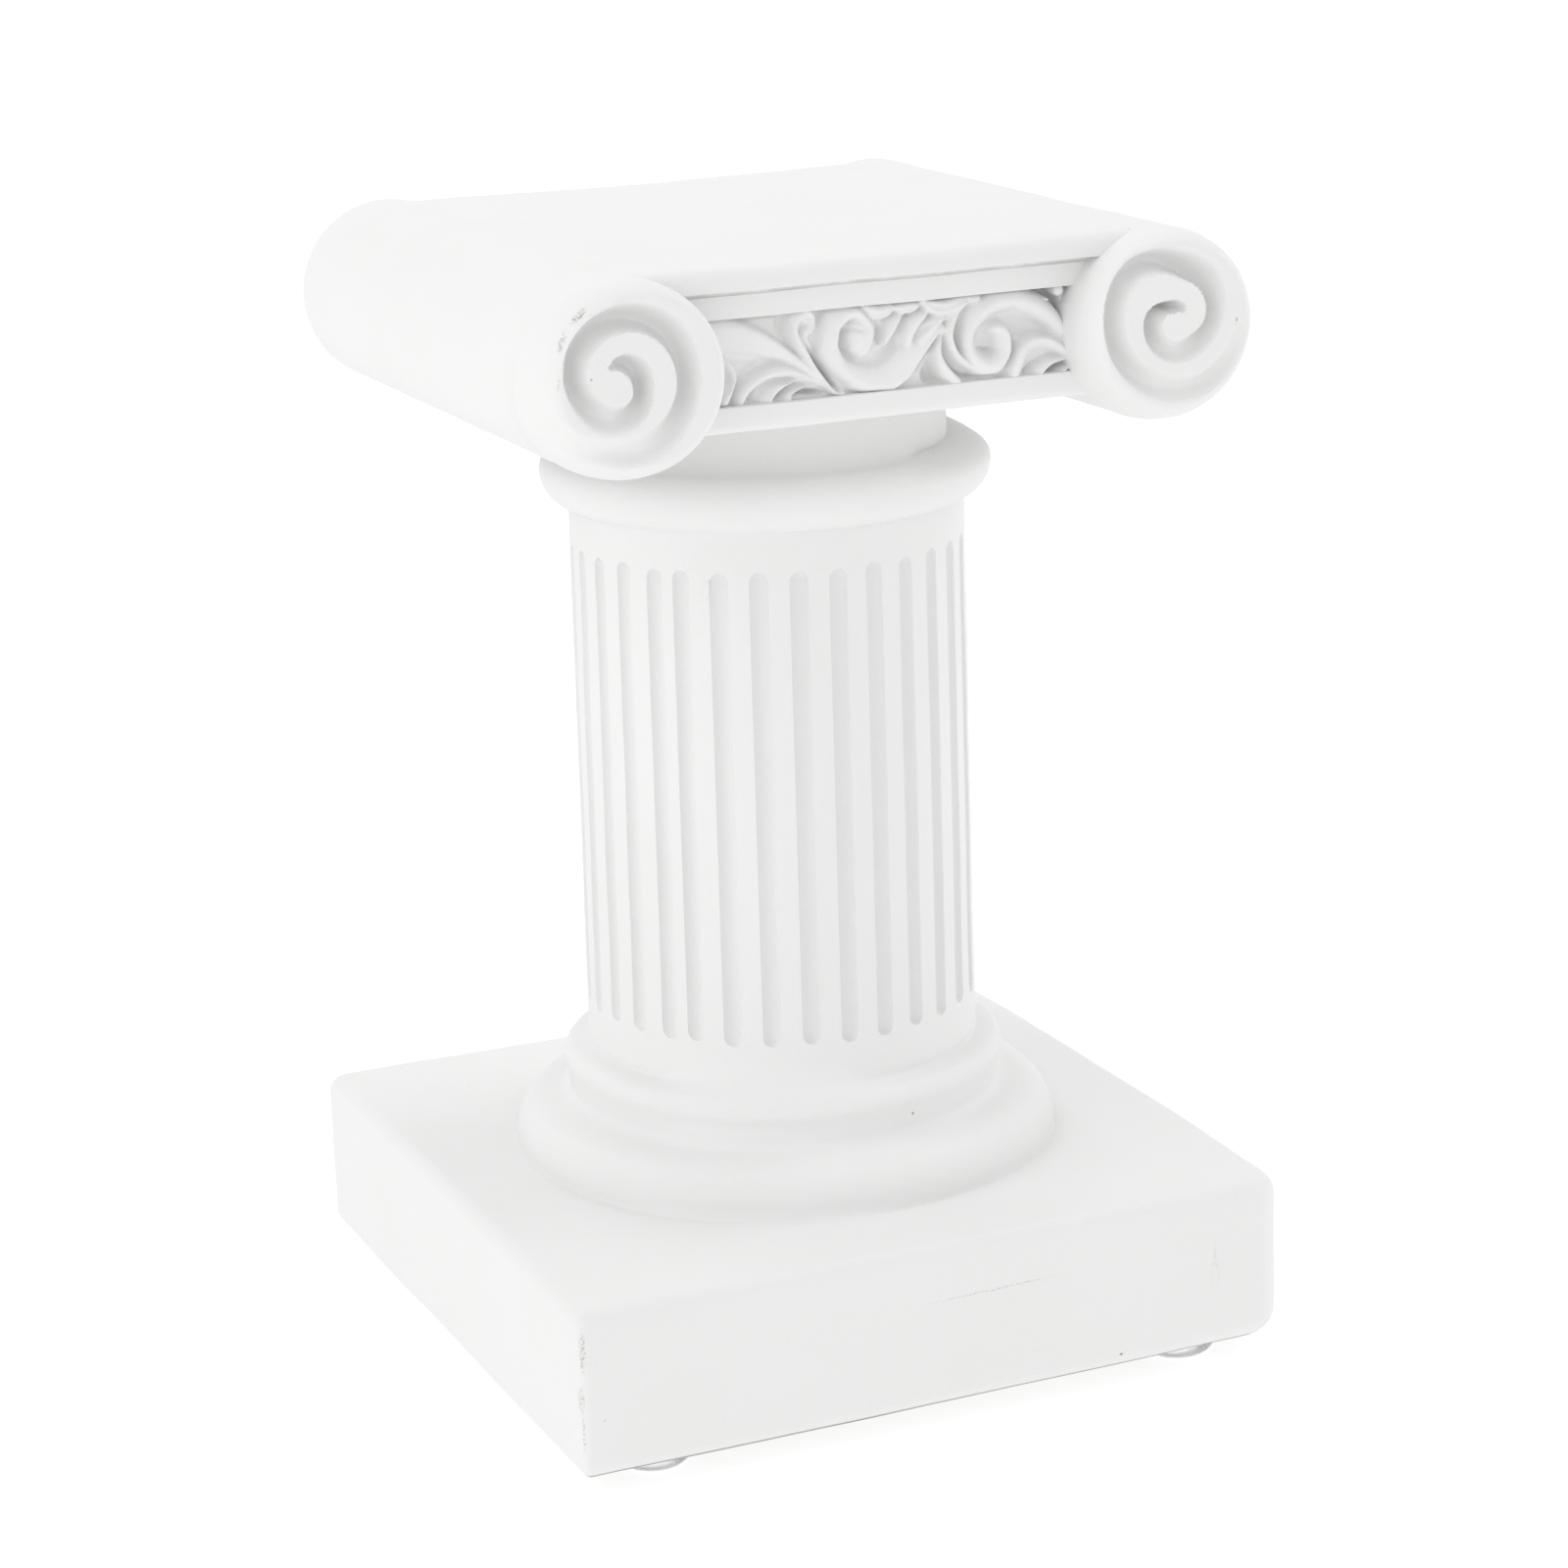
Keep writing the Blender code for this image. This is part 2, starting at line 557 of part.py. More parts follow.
def pad_profile():
    """A pad's outline, from the middle of its glued face, over its rim and dome, to the middle of its flat."""
    rim = (PAD_DIAMETER / 2, PAD_HEIGHT - PAD_RIM_HEIGHT)
    profile = [(0.0, PAD_HEIGHT), (PAD_DIAMETER / 2, PAD_HEIGHT), rim]
    profile += quarter(rim, (PAD_FLAT_DIAMETER / 2, 0.0), 3, False)
    profile.append((0.0, 0.0))
    return profile


def pad_object(name, side, front, collection, clear):
    obj = screw_object(name, pad_profile(), PAD_STEPS, collection)
    x = PLINTH_SIDE / 2 - PAD_INSET_FROM_SIDES
    y = PLINTH_SIDE / 2 - PAD_INSET_FROM_FRONT
    obj.location = (side * x, front * y, 0.0)
    obj.data.materials.append(clear)
    return obj


def main():
    clear_scene()
    column_parts = new_collection("roman_column", False)
    plaster = material("plaster", (0.90, 0.90, 0.89), 0.75)
    column_object(column_parts, plaster)
    for front, end in ((-1, "front"), (1, "back")):
        for side, word in ((-1, "left"), (1, "right")):
            clear = material(f"clear_pad_{end}_{word}", (0.85, 0.86, 0.86), 0.15, 0.8)
            pad_object(f"bumper_pad_{end}_{word}", side, front, column_parts, clear)


main()
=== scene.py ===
"""Desk-size Roman column: one white plaster casting on four clear pads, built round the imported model.

Lengths in the named values and tables are millimetres in the part's own frame, unless a comment says
otherwise: the origin is under the middle of the column on the surface that it stands on, +Z is up, and the
carved front of the capital faces -Y. Angles are in degrees.
"""

import math

import bmesh
import bpy
import numpy as np
from bpy.props import FloatProperty, FloatVectorProperty, PointerProperty
from mathutils import Matrix, Vector


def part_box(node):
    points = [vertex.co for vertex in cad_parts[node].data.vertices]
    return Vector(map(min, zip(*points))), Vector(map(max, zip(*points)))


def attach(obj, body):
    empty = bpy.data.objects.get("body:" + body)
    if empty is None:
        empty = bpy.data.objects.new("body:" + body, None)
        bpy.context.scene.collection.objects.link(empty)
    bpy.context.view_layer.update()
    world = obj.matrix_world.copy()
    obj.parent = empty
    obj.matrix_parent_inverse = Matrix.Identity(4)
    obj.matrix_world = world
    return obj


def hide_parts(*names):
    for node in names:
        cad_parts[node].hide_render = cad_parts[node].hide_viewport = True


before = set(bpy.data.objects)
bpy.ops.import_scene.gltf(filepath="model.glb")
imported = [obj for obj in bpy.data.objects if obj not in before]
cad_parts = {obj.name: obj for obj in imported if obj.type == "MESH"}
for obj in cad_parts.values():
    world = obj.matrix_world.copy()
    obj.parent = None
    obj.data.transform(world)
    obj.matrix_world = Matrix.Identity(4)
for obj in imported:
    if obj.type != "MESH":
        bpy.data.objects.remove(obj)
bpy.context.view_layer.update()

bl_info = {
    "name": "Roman Column",
    "version": (1, 0, 0),
    "blender": (4, 5, 0),
    "location": "View3D > Sidebar > Column",
    "description": "Builds a desk-size Roman column with a carved capital, its clear pads and a plain stage",
    "category": "Add Mesh",
}

MM = 0.001
CASTING_NODE = "column_casting"
PAD_NODES = tuple(sorted(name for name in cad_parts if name.startswith("bumper_pad")))
CASTING_LOW, CASTING_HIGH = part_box(CASTING_NODE)
PAD_LOW, PAD_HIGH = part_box(PAD_NODES[0])

# Heights from the surface that the column stands on
PLINTH_BOTTOM = CASTING_LOW.z / MM
FOOT_TOP = 31.6
HOLLOW_TOP = 32.6
TORUS_MIDDLE = 36.3
SHAFT_BOTTOM = 39.1
FLUTE_FOOT = 45.0
SHAFT_MIDDLE = 76.0
FLUTE_HEAD = 107.6
SHAFT_TOP = 112.7
ECHINUS_MIDDLE = 116.9
NECK_BOTTOM = 119.8
SLAB_BOTTOM = 128.5
ROLL_AXIS = 137.0
SLAB_TOP = 149.0

# The slab's front: heights from the slab's foot, the carved field's ends, how far the recess that holds the
# carving lies behind the carving's floor, and how far a cut may go below that floor
BAND_TOP = 3.3
LIP_BOTTOM = 14.0
LIP_TOP = 17.5
FRIEZE_ENDS = (-26.2, 26.6)
RECESS = 2.8
FRIEZE_LOWEST = -2.6

# Smallest radius of a corner or a ring
SMALLEST_RADIUS = 0.12

# The block of the plinth: its corners in order round it, the steps along a corner and a side, and the middle
# and half size that say which way its uneven surface faces
PLINTH_CORNERS = ((1, 1), (-1, 1), (-1, -1), (1, -1))
CORNER_STEPS = 10
SIDE_STEPS = 24
SWELL_MIDDLE = (0.0, 0.0, PLINTH_BOTTOM + 11.0)
SWELL_HALF_SIZE = (50.0, 50.0, 11.2)

# Points round the turned mouldings, the angle that the photographed side faces, where they are softest, and
# the radius of the foot's rounding
ROUND_ANGLES = np.arange(168) * 360 / 168
FACING_ANGLE = 246.5
FOOT_ROUND = 6.0

# Flutes: the two halves of the mould sat a little out of step, so the gap at one seam is narrower than the
# pitch. The places are those of the points across a flute, as shares of its half width.
FLUTES_PER_HALF = 16
SEAM_ANGLE = 217.0
SEAM_HALF_GAP = 4.25
FLUTE_PLACES = (-1.05, -1.0, -0.93, -0.74, -0.4, 0.0, 0.4, 0.74, 0.93, 1.0, 1.05)
FLUTE_END_STEPS = 7

# Points round a roll at its grooved front and on the rest, and the width of the rounded edge at its ends
ROLL_FINE_COUNT = 224
ROLL_PLAIN_COUNT = 112
ROLL_EDGE = 3.4

# Unevenness of the casting's surfaces as layers of (height, wavelength, seed)
RIPPLES = {
    "plinth": ((0.07, 34, 11), (0.03, 11, 12)),
    "mouldings": ((0.05, 16, 21), (0.02, 5, 22)),
    "shaft": ((0.035, 14, 31), (0.012, 4, 32)),
    "slab_height": ((0.05, 13, 41),),
    "slab_depth": ((0.05, 12, 42),),
    "slab_groove": ((0.5, 2.2, 43),),
    "frieze": ((0.06, 3.0, 5),),
    "roll": ((0.06, 22, 61), (0.02, 6, 62)),
    "roll_end": ((0.05, 7, 51),),
}

# Edges that turn by more than this many degrees are shaded sharp
CASTING_SHARP = 42.0
PAD_SHARP = 50.0

# Plaster, in metres: how far the flaws' edges are shifted, the heights between which the painted shade along
# the plinth's bottom edge fades in, and the heights of waves and grain and the depth of pinholes before the
# finish's grain share. The flaws' rises are multiplied by the last value, which makes them true at a grain
# share of 0.25.
MARK_SHIFT = 0.0006
# Painted shade: the plinth is darkened below the first height and fully dark below the second
BOTTOM_SHADE_FROM = 0.0035
BOTTOM_SHADE_FULL = 0.0031
WAVE_HEIGHT = 0.00010
GRAIN_HEIGHT = 0.00005
PINHOLE_DEPTH = 0.0002
MARK_RISE_SHARE = 4.0

# Places of the studio's lamps, the point they face and their diameter, and half the floor's width, in metres
LAMP_PLACES = {
    "left": (-0.85, -0.70, 0.35),
    "front": (0.80, -0.80, 0.35),
    "right": (1.15, 0.0, 0.35),
    "top_left": (-0.85, 0.0, 0.85),
    "top_right": (0.85, 0.0, 0.85),
    "top": (0.0, 0.0, 1.2),
    "back": (0.0, 0.85, 0.85),
}
LAMP_AIM = (0.0, 0.0, 0.08)
LAMP_SIZE = 0.8
FLOOR_REACH = 6.0

# Camera: sensor and lens, angles, its distance from the point that it faces, and that point's height and its
# step to the right of the column's axis
SENSOR_WIDTH = 36.0
LENS = 94.218266
CAMERA_AZIMUTH = -23.5072157
CAMERA_ELEVATION = 15.5824479
CAMERA_ROLL = -1.7229963
CAMERA_DISTANCE = 547.5257767
CAMERA_AIM_HEIGHT = 72.8459716
CAMERA_SIDE_STEP = 1.2159076

# Points picked on the photo: the width and height of its frame in pixels, the width of a pixel on the
# capital, how far the frieze's floor and the rolls' ends are in front of the column's axis, the place of the
# right roll's axis, and the middles of the two spirals, counted from their rolls' axes
PHOTO_SIZE = 1600
PIXEL = 0.131
PICKED_FLOOR = 36.9
PICKED_ROLL_END = 46.635
PICKED_ROLL = (35.88, 136.97)
LEFT_SPIRAL_MIDDLE = (-2.0, 0.5)
RIGHT_SPIRAL_MIDDLE = (-0.75, 1.75)

# Flaws of the casting as (middle, half sizes, tilt, darkness, rise): chipped and dirty front edge, hairline
# crack, drop mark, dirty rim of the left volute, pinholes, a nick on each volute, and raised flash
MARKS = (
    ((-49.25, -49.6, 20.2), (0.42, 1.2, 3.4), 0, 0.50, -0.02),
    ((-49.55, -49.6, 13.6), (0.36, 1.2, 2.2), 0, 0.40, -0.02),
    ((-49.45, -49.7, 9.2), (0.16, 1.2, 3.2), 0, 0.35, 0.0),
    ((6.3, -50.0, 17.5), (10.0, 0.9, 0.10), -1, 0.45, -0.08),
    ((38.7, -50.0, 13.5), (0.75, 0.9, 1.9), 0, 0.20, 0.10),
    ((38.7, -50.0, 13.4), (0.55, 0.9, 1.6), 0, -0.26, 0.0),
    ((38.75, -50.0, 15.9), (0.26, 0.9, 2.2), 0, 0.13, 0.08),
    ((-42.5, -45.6, 145.7), (1.5, 2.5, 0.36), -43, 0.60, -0.02),
    ((-44.7, -45.2, 142.8), (0.30, 2.5, 1.7), 22, 0.45, -0.02),
    ((-45.6, -44.8, 138.2), (0.30, 2.5, 1.2), 4, 0.35, 0.0),
    ((24.9, -50.0, 4.8), (0.27, 0.8, 0.27), 0, 1.2, -0.2),
    ((-20.5, -23.3, 33.7), (0.33, 0.6, 0.30), 0, 1.0, -0.2),
    ((5.8, -28.4, 34.5), (0.30, 0.6, 0.28), 0, 1.0, -0.2),
    ((-23.5, -8.2, 63.3), (0.5, 0.4, 0.45), 0, 0.8, -0.2),
    ((-41.5, -46.6, 138.4), (0.20, 0.6, 0.20), 0, 0.7, -0.1),
    ((43.8, -46.4, 137.4), (0.22, 0.9, 0.55), 0, 0.7, -0.1),
    ((6.2, -33.5, 32.5), (1.4, 1.2, 0.42), -20, 0.0, 0.25),
    ((13.4, -20.6, 119.3), (2.6, 1.6, 0.22), -16, 0.0, 0.20),
    ((-16.9, -19.5, 105.4), (0.55, 1.0, 1.5), 12, 0.0, 0.30),
)

# Strokes of the frieze, picked on the photo, as (column, row, left width, right width, height).
# Places and widths are pixels of the photo's frame, and left and right are those of someone who walks
# along the stroke. Heights are millimetres over the frieze's floor.
STROKES = {
    "long_leaf": (
        (857, 400, 2, 2, 1.0), (850, 395, 3, 3, 1.3), (840, 387, 4, 4, 1.6), (830, 380, 6, 4, 1.75),
        (820, 372, 9, 4.5, 1.85), (810, 364.5, 12, 5, 1.9), (800, 357, 16, 5, 1.95),
        (790, 350, 22, 5.5, 2.0), (780, 344, 28, 6, 2.0), (770, 340, 32, 7, 2.0), (760, 336.5, 36, 8, 1.95),
        (748, 335, 38, 10, 1.9), (736, 336, 38, 12, 1.85), (720, 339, 38, 12, 1.8), (705, 342, 38, 12, 1.8),
    ),
    "arched_leaf": (
        (855, 399, 2, 2, 1.0), (840, 391, 4, 4, 1.3), (830, 387, 5, 5, 1.5), (820, 383.5, 5, 7, 1.6),
        (810, 381, 5, 8, 1.7), (800, 380.5, 6, 9, 1.7), (790, 382, 6, 9, 1.7), (780, 386, 6, 9, 1.65),
        (770, 392, 6, 9, 1.55), (763, 400, 6, 8, 1.5), (759, 408, 5, 7, 1.4), (757, 417, 5, 6, 1.3),
    ),
    "low_leaf": (
        (845, 396, 1.5, 2, 0.9), (832, 391, 2, 1.5, 1.1), (822, 389, 2, 1, 1.2), (812, 390, 1.5, 2, 1.3),
        (803, 394, 1.5, 4, 1.4), (796, 399, 2, 7, 1.45), (791, 405, 2, 11, 1.4), (789, 412, 2, 15, 1.3),
        (788, 419, 2, 16, 1.3),
    ),
    "small_leaf": (
        (838, 394, 1, 1, 1.0), (825, 395.5, 1, 1, 1.2), (819, 398, 1, 3, 1.3), (813, 401.5, 1.5, 5, 1.35),
        (809, 406, 1.5, 8, 1.3), (807, 413, 1.5, 10, 1.2),
    ),
    "leaf_root": (
        (862, 403, 4, 4, 1.1), (853, 399, 5, 5, 1.4), (846, 395, 4, 4, 1.4), (838, 391, 3, 3, 1.2),
    ),
    "tendril": (
        (857, 400, 3, 2, 1.4), (850, 393, 5, 2, 1.8), (843, 385, 7, 2, 1.95), (836, 376, 8, 2, 2.0),
        (830, 367, 9, 2, 2.0), (824, 358, 9, 2.5, 2.0), (818, 349, 10, 3, 2.0), (814.5, 342, 11, 4, 2.0),
        (813.5, 335, 11, 5, 1.95), (815.5, 328, 10, 5, 1.9), (820, 323, 8, 5, 1.85), (826, 320, 6, 5, 1.85),
        (830.5, 322, 3, 5, 1.85), (832, 328, 2.5, 5, 1.8), (831, 335, 2.5, 5, 1.75),
        (827.5, 341, 2.5, 4, 1.65), (822, 344.5, 2, 3, 1.4),
    ),
    "tendril_fill": (
        (823, 327, 6, 6, 1.4), (823, 336, 6, 6, 1.35), (821, 343, 5, 5, 1.3), (824, 350, 4, 4, 1.2),
        (829, 357, 2, 2, 0.9),
    ),
    "left_coil": (
        (877, 335, 9, 8, 1.7), (879, 342, 12, 12, 1.9), (879, 349, 12, 12, 1.9), (876, 355, 8, 9, 1.6),
    ),
    "left_petal_fill": (
        (881, 313, 3, 3, 1.6), (889, 316, 6, 7, 1.8), (899, 318, 7, 8, 1.85), (907, 315, 6, 6, 1.75),
        (912, 313, 3, 4, 1.6),
    ),
    "right_petal_fill": (
        (915, 313, 3, 4, 1.6), (922, 314, 6, 6, 1.8), (930, 313, 6, 6, 1.8), (937, 311, 4, 4, 1.7),
    ),
    "crescent_fill": (
        (942, 305, 3, 3, 1.5), (951, 309, 6, 6, 1.7), (963, 311, 7, 7, 1.75), (975, 308, 7, 7, 1.7),
        (987, 305, 5, 6, 1.6), (998, 302, 3, 3, 1.5),
    ),
    "corner_curl": (
        (730, 366, 4, 5, 1.6), (738, 368, 5, 6, 1.8), (745, 373, 5, 6, 1.9), (749, 380, 5, 6, 1.95),
        (750, 388, 5, 6, 1.9), (748, 396, 5, 6, 1.8), (745, 404, 5, 6, 1.7), (741, 413, 5, 6, 1.5),
    ),
    "left_scroll_tail": (
        (872, 388, 14, 12, 1.5), (885, 393, 18, 9, 1.6), (900, 394, 22, 7, 1.65), (915, 392, 26, 5.5, 1.7),
        (925, 387, 28, 3.5, 1.75), (932, 379, 26, 1.5, 1.8), (940, 368, 22, 1.5, 1.85),
        (948, 356, 16, 1.5, 1.85), (955, 346, 10, 1.5, 1.8), (960, 339, 5, 1.5, 1.7),
        (964, 333, 3, 1.5, 1.5),
    ),
    "left_scroll": (
        (890, 392, 5, 20, 1.5), (878, 389, 6, 19, 1.7), (868, 383, 9, 15, 1.85), (861, 375, 12, 10, 1.95),
        (856, 365, 15, 8, 2.0), (853, 355, 17, 7, 2.0), (853, 345, 18, 7, 2.0), (855, 336, 18, 7, 1.95),
        (860, 328, 17, 7, 1.9), (867, 322, 14, 8, 1.85), (875, 320, 8, 8, 1.85), (882, 323, 5, 8, 1.85),
        (888, 329, 3, 10, 1.9), (890.5, 336, 2, 13, 1.95), (891, 345, 2, 19, 2.0), (889, 352, 2, 18, 1.95),
        (884, 357, 3, 12, 1.85), (878, 358, 4, 8, 1.7), (872, 354, 4, 5, 1.5), (869, 348, 3, 4, 1.2),
    ),
    "left_petal": (
        (880, 314, 2, 2, 1.5), (886, 319.5, 6, 2, 1.7), (893, 324.5, 11, 2, 1.8), (900, 325.5, 13, 2, 1.85),
        (907, 322.5, 10, 2, 1.85), (911, 318.5, 6, 2, 1.75), (913, 315, 2, 2, 1.6),
    ),
    "right_petal": (
        (914, 317, 3, 2, 1.6), (920, 319.5, 8, 2, 1.8), (927, 319.5, 11, 2, 1.85), (934, 317.5, 9, 2, 1.8),
        (938, 313, 4, 2, 1.7),
    ),
    "crescent_leaf": (
        (941, 303, 3, 3, 1.6), (944, 310, 4, 4, 1.75), (950, 315, 5, 5, 1.8), (958, 318, 5, 5, 1.85),
        (967, 317.5, 5, 5, 1.85), (976, 315, 5, 5, 1.8), (984, 311, 5, 5, 1.8), (992, 307, 6, 4, 1.7),
        (1000, 304, 4, 4, 1.6),
    ),
    "first_finger": (
        (904, 353, 2, 2, 1.1), (908, 347.5, 7, 1.5, 1.5), (913, 340, 9, 1.5, 1.75),
        (917, 332, 10, 1.5, 1.85), (920, 326, 8, 1.5, 1.8), (923, 320, 3, 1.5, 1.6),
    ),
    "second_finger": (
        (927, 354, 3, 3, 1.2), (929, 346, 6, 6, 1.6), (932, 338, 8, 6, 1.8), (937, 330, 9, 6, 1.9),
        (943, 323, 6, 5, 1.85), (948, 318, 3, 3, 1.6),
    ),
    "third_finger": (
        (940, 352, 6, 8, 1.6), (944, 344, 7, 9, 1.8), (949, 337, 8, 9, 1.85), (955, 331, 8, 7, 1.8),
        (962, 327, 6, 4, 1.65), (969, 323, 4, 3, 1.5),
    ),
    "stem": (
        (988, 309, 3, 3, 1.6), (984, 313, 3, 5, 1.7), (980, 318, 2.5, 7, 1.8), (977, 325, 2.5, 7, 1.85),
        (974, 334, 2.5, 7, 1.85), (973, 343, 2.5, 7, 1.85), (974, 350, 2.5, 7, 1.85),
        (977, 357, 2.5, 7, 1.8), (982, 364, 2.5, 7, 1.75), (989, 371, 2.5, 7, 1.7),
        (997, 376.5, 2.5, 6, 1.6), (1005, 380, 2, 4, 1.5),
    ),
    "spine_leaf": (
        (965, 334, 1.5, 1.5, 1.3), (962.5, 341, 2, 3, 1.6), (961, 350, 2, 5, 1.75), (961, 358, 2, 7, 1.8),
        (963, 366, 2.5, 9, 1.8), (967, 374, 3, 11, 1.75), (972, 381, 4, 14, 1.7), (978, 388, 5, 18, 1.6),
        (983, 395, 5, 18, 1.6),
    ),
    "right_scroll": (
        (1098, 362, 10, 6, 1.4), (1093, 349, 12, 7, 1.55), (1087, 337, 13, 8, 1.7), (1080, 327, 13, 9, 1.8),
        (1071, 319, 13, 10, 1.9), (1061, 312.5, 13, 11, 1.95), (1050, 308.5, 13, 11, 2.0),
        (1040, 306.5, 12, 11, 2.0), (1030, 307, 12, 11, 2.0), (1020, 309.5, 12, 11, 2.0),
        (1010, 314, 11, 11, 2.0), (1002, 321, 11, 12, 2.0), (996, 329.5, 9, 12, 2.0), (992, 338, 8, 9, 2.0),
        (990, 347, 8, 7.5, 2.0), (991, 356, 9, 8, 2.0), (995, 364, 9, 9, 2.0), (1002, 370, 9, 15, 1.95),
        (1010, 373.5, 10, 17, 1.95), (1018, 372.5, 10, 14, 1.9), (1025, 367, 10, 9, 1.9),
        (1030, 359, 12, 6, 1.9), (1031.5, 350, 14, 4, 1.9), (1030, 342, 14, 4, 1.85),
        (1025, 336, 11, 4, 1.75), (1018, 334, 7, 4, 1.5), (1012, 337, 5, 3, 1.2),
    ),
    "right_leaf": (
        (1036, 390, 7, 8, 1.5), (1038, 379, 7, 9, 1.7), (1041, 368, 6, 10, 1.85), (1045, 358, 5, 12, 1.9),
        (1051, 350, 4, 13, 1.95), (1060, 345.5, 4, 13, 1.95), (1071, 346, 4, 12, 1.9),
        (1080, 350, 4, 10, 1.85), (1088, 357, 4, 7, 1.75), (1096, 365, 3, 5, 1.6),
    ),
    "right_low_leaf": (
        (1061, 391, 10, 2, 1.4), (1065, 382, 10, 1.5, 1.5), (1069, 376.5, 9, 1.5, 1.6),
        (1076, 371.5, 7, 1.5, 1.65), (1085, 367.5, 5, 1.5, 1.6), (1098, 364, 3, 1.5, 1.5),
    ),
    "right_small_leaf": (
        (1082, 388, 5, 3, 1.2), (1086, 380, 5, 3, 1.25), (1092, 375, 4, 3, 1.2), (1100, 372, 4, 3, 1.2),
    ),
}

# Round bumps of the frieze, picked in the same way, as (column, row, radius, height)
FRIEZE_BUMPS = (
    (792, 347, 2, 2.2),
    (1069.5, 306, 2, 2.2),
    (765, 332, 2.5, 1.0),
    (967, 325, 2, 2.0),
)

# Bead in the frieze's upper right corner as (right, up, radius, height) in millimetres
BEAD = (23.5, 13.4, 0.72, 1.7)

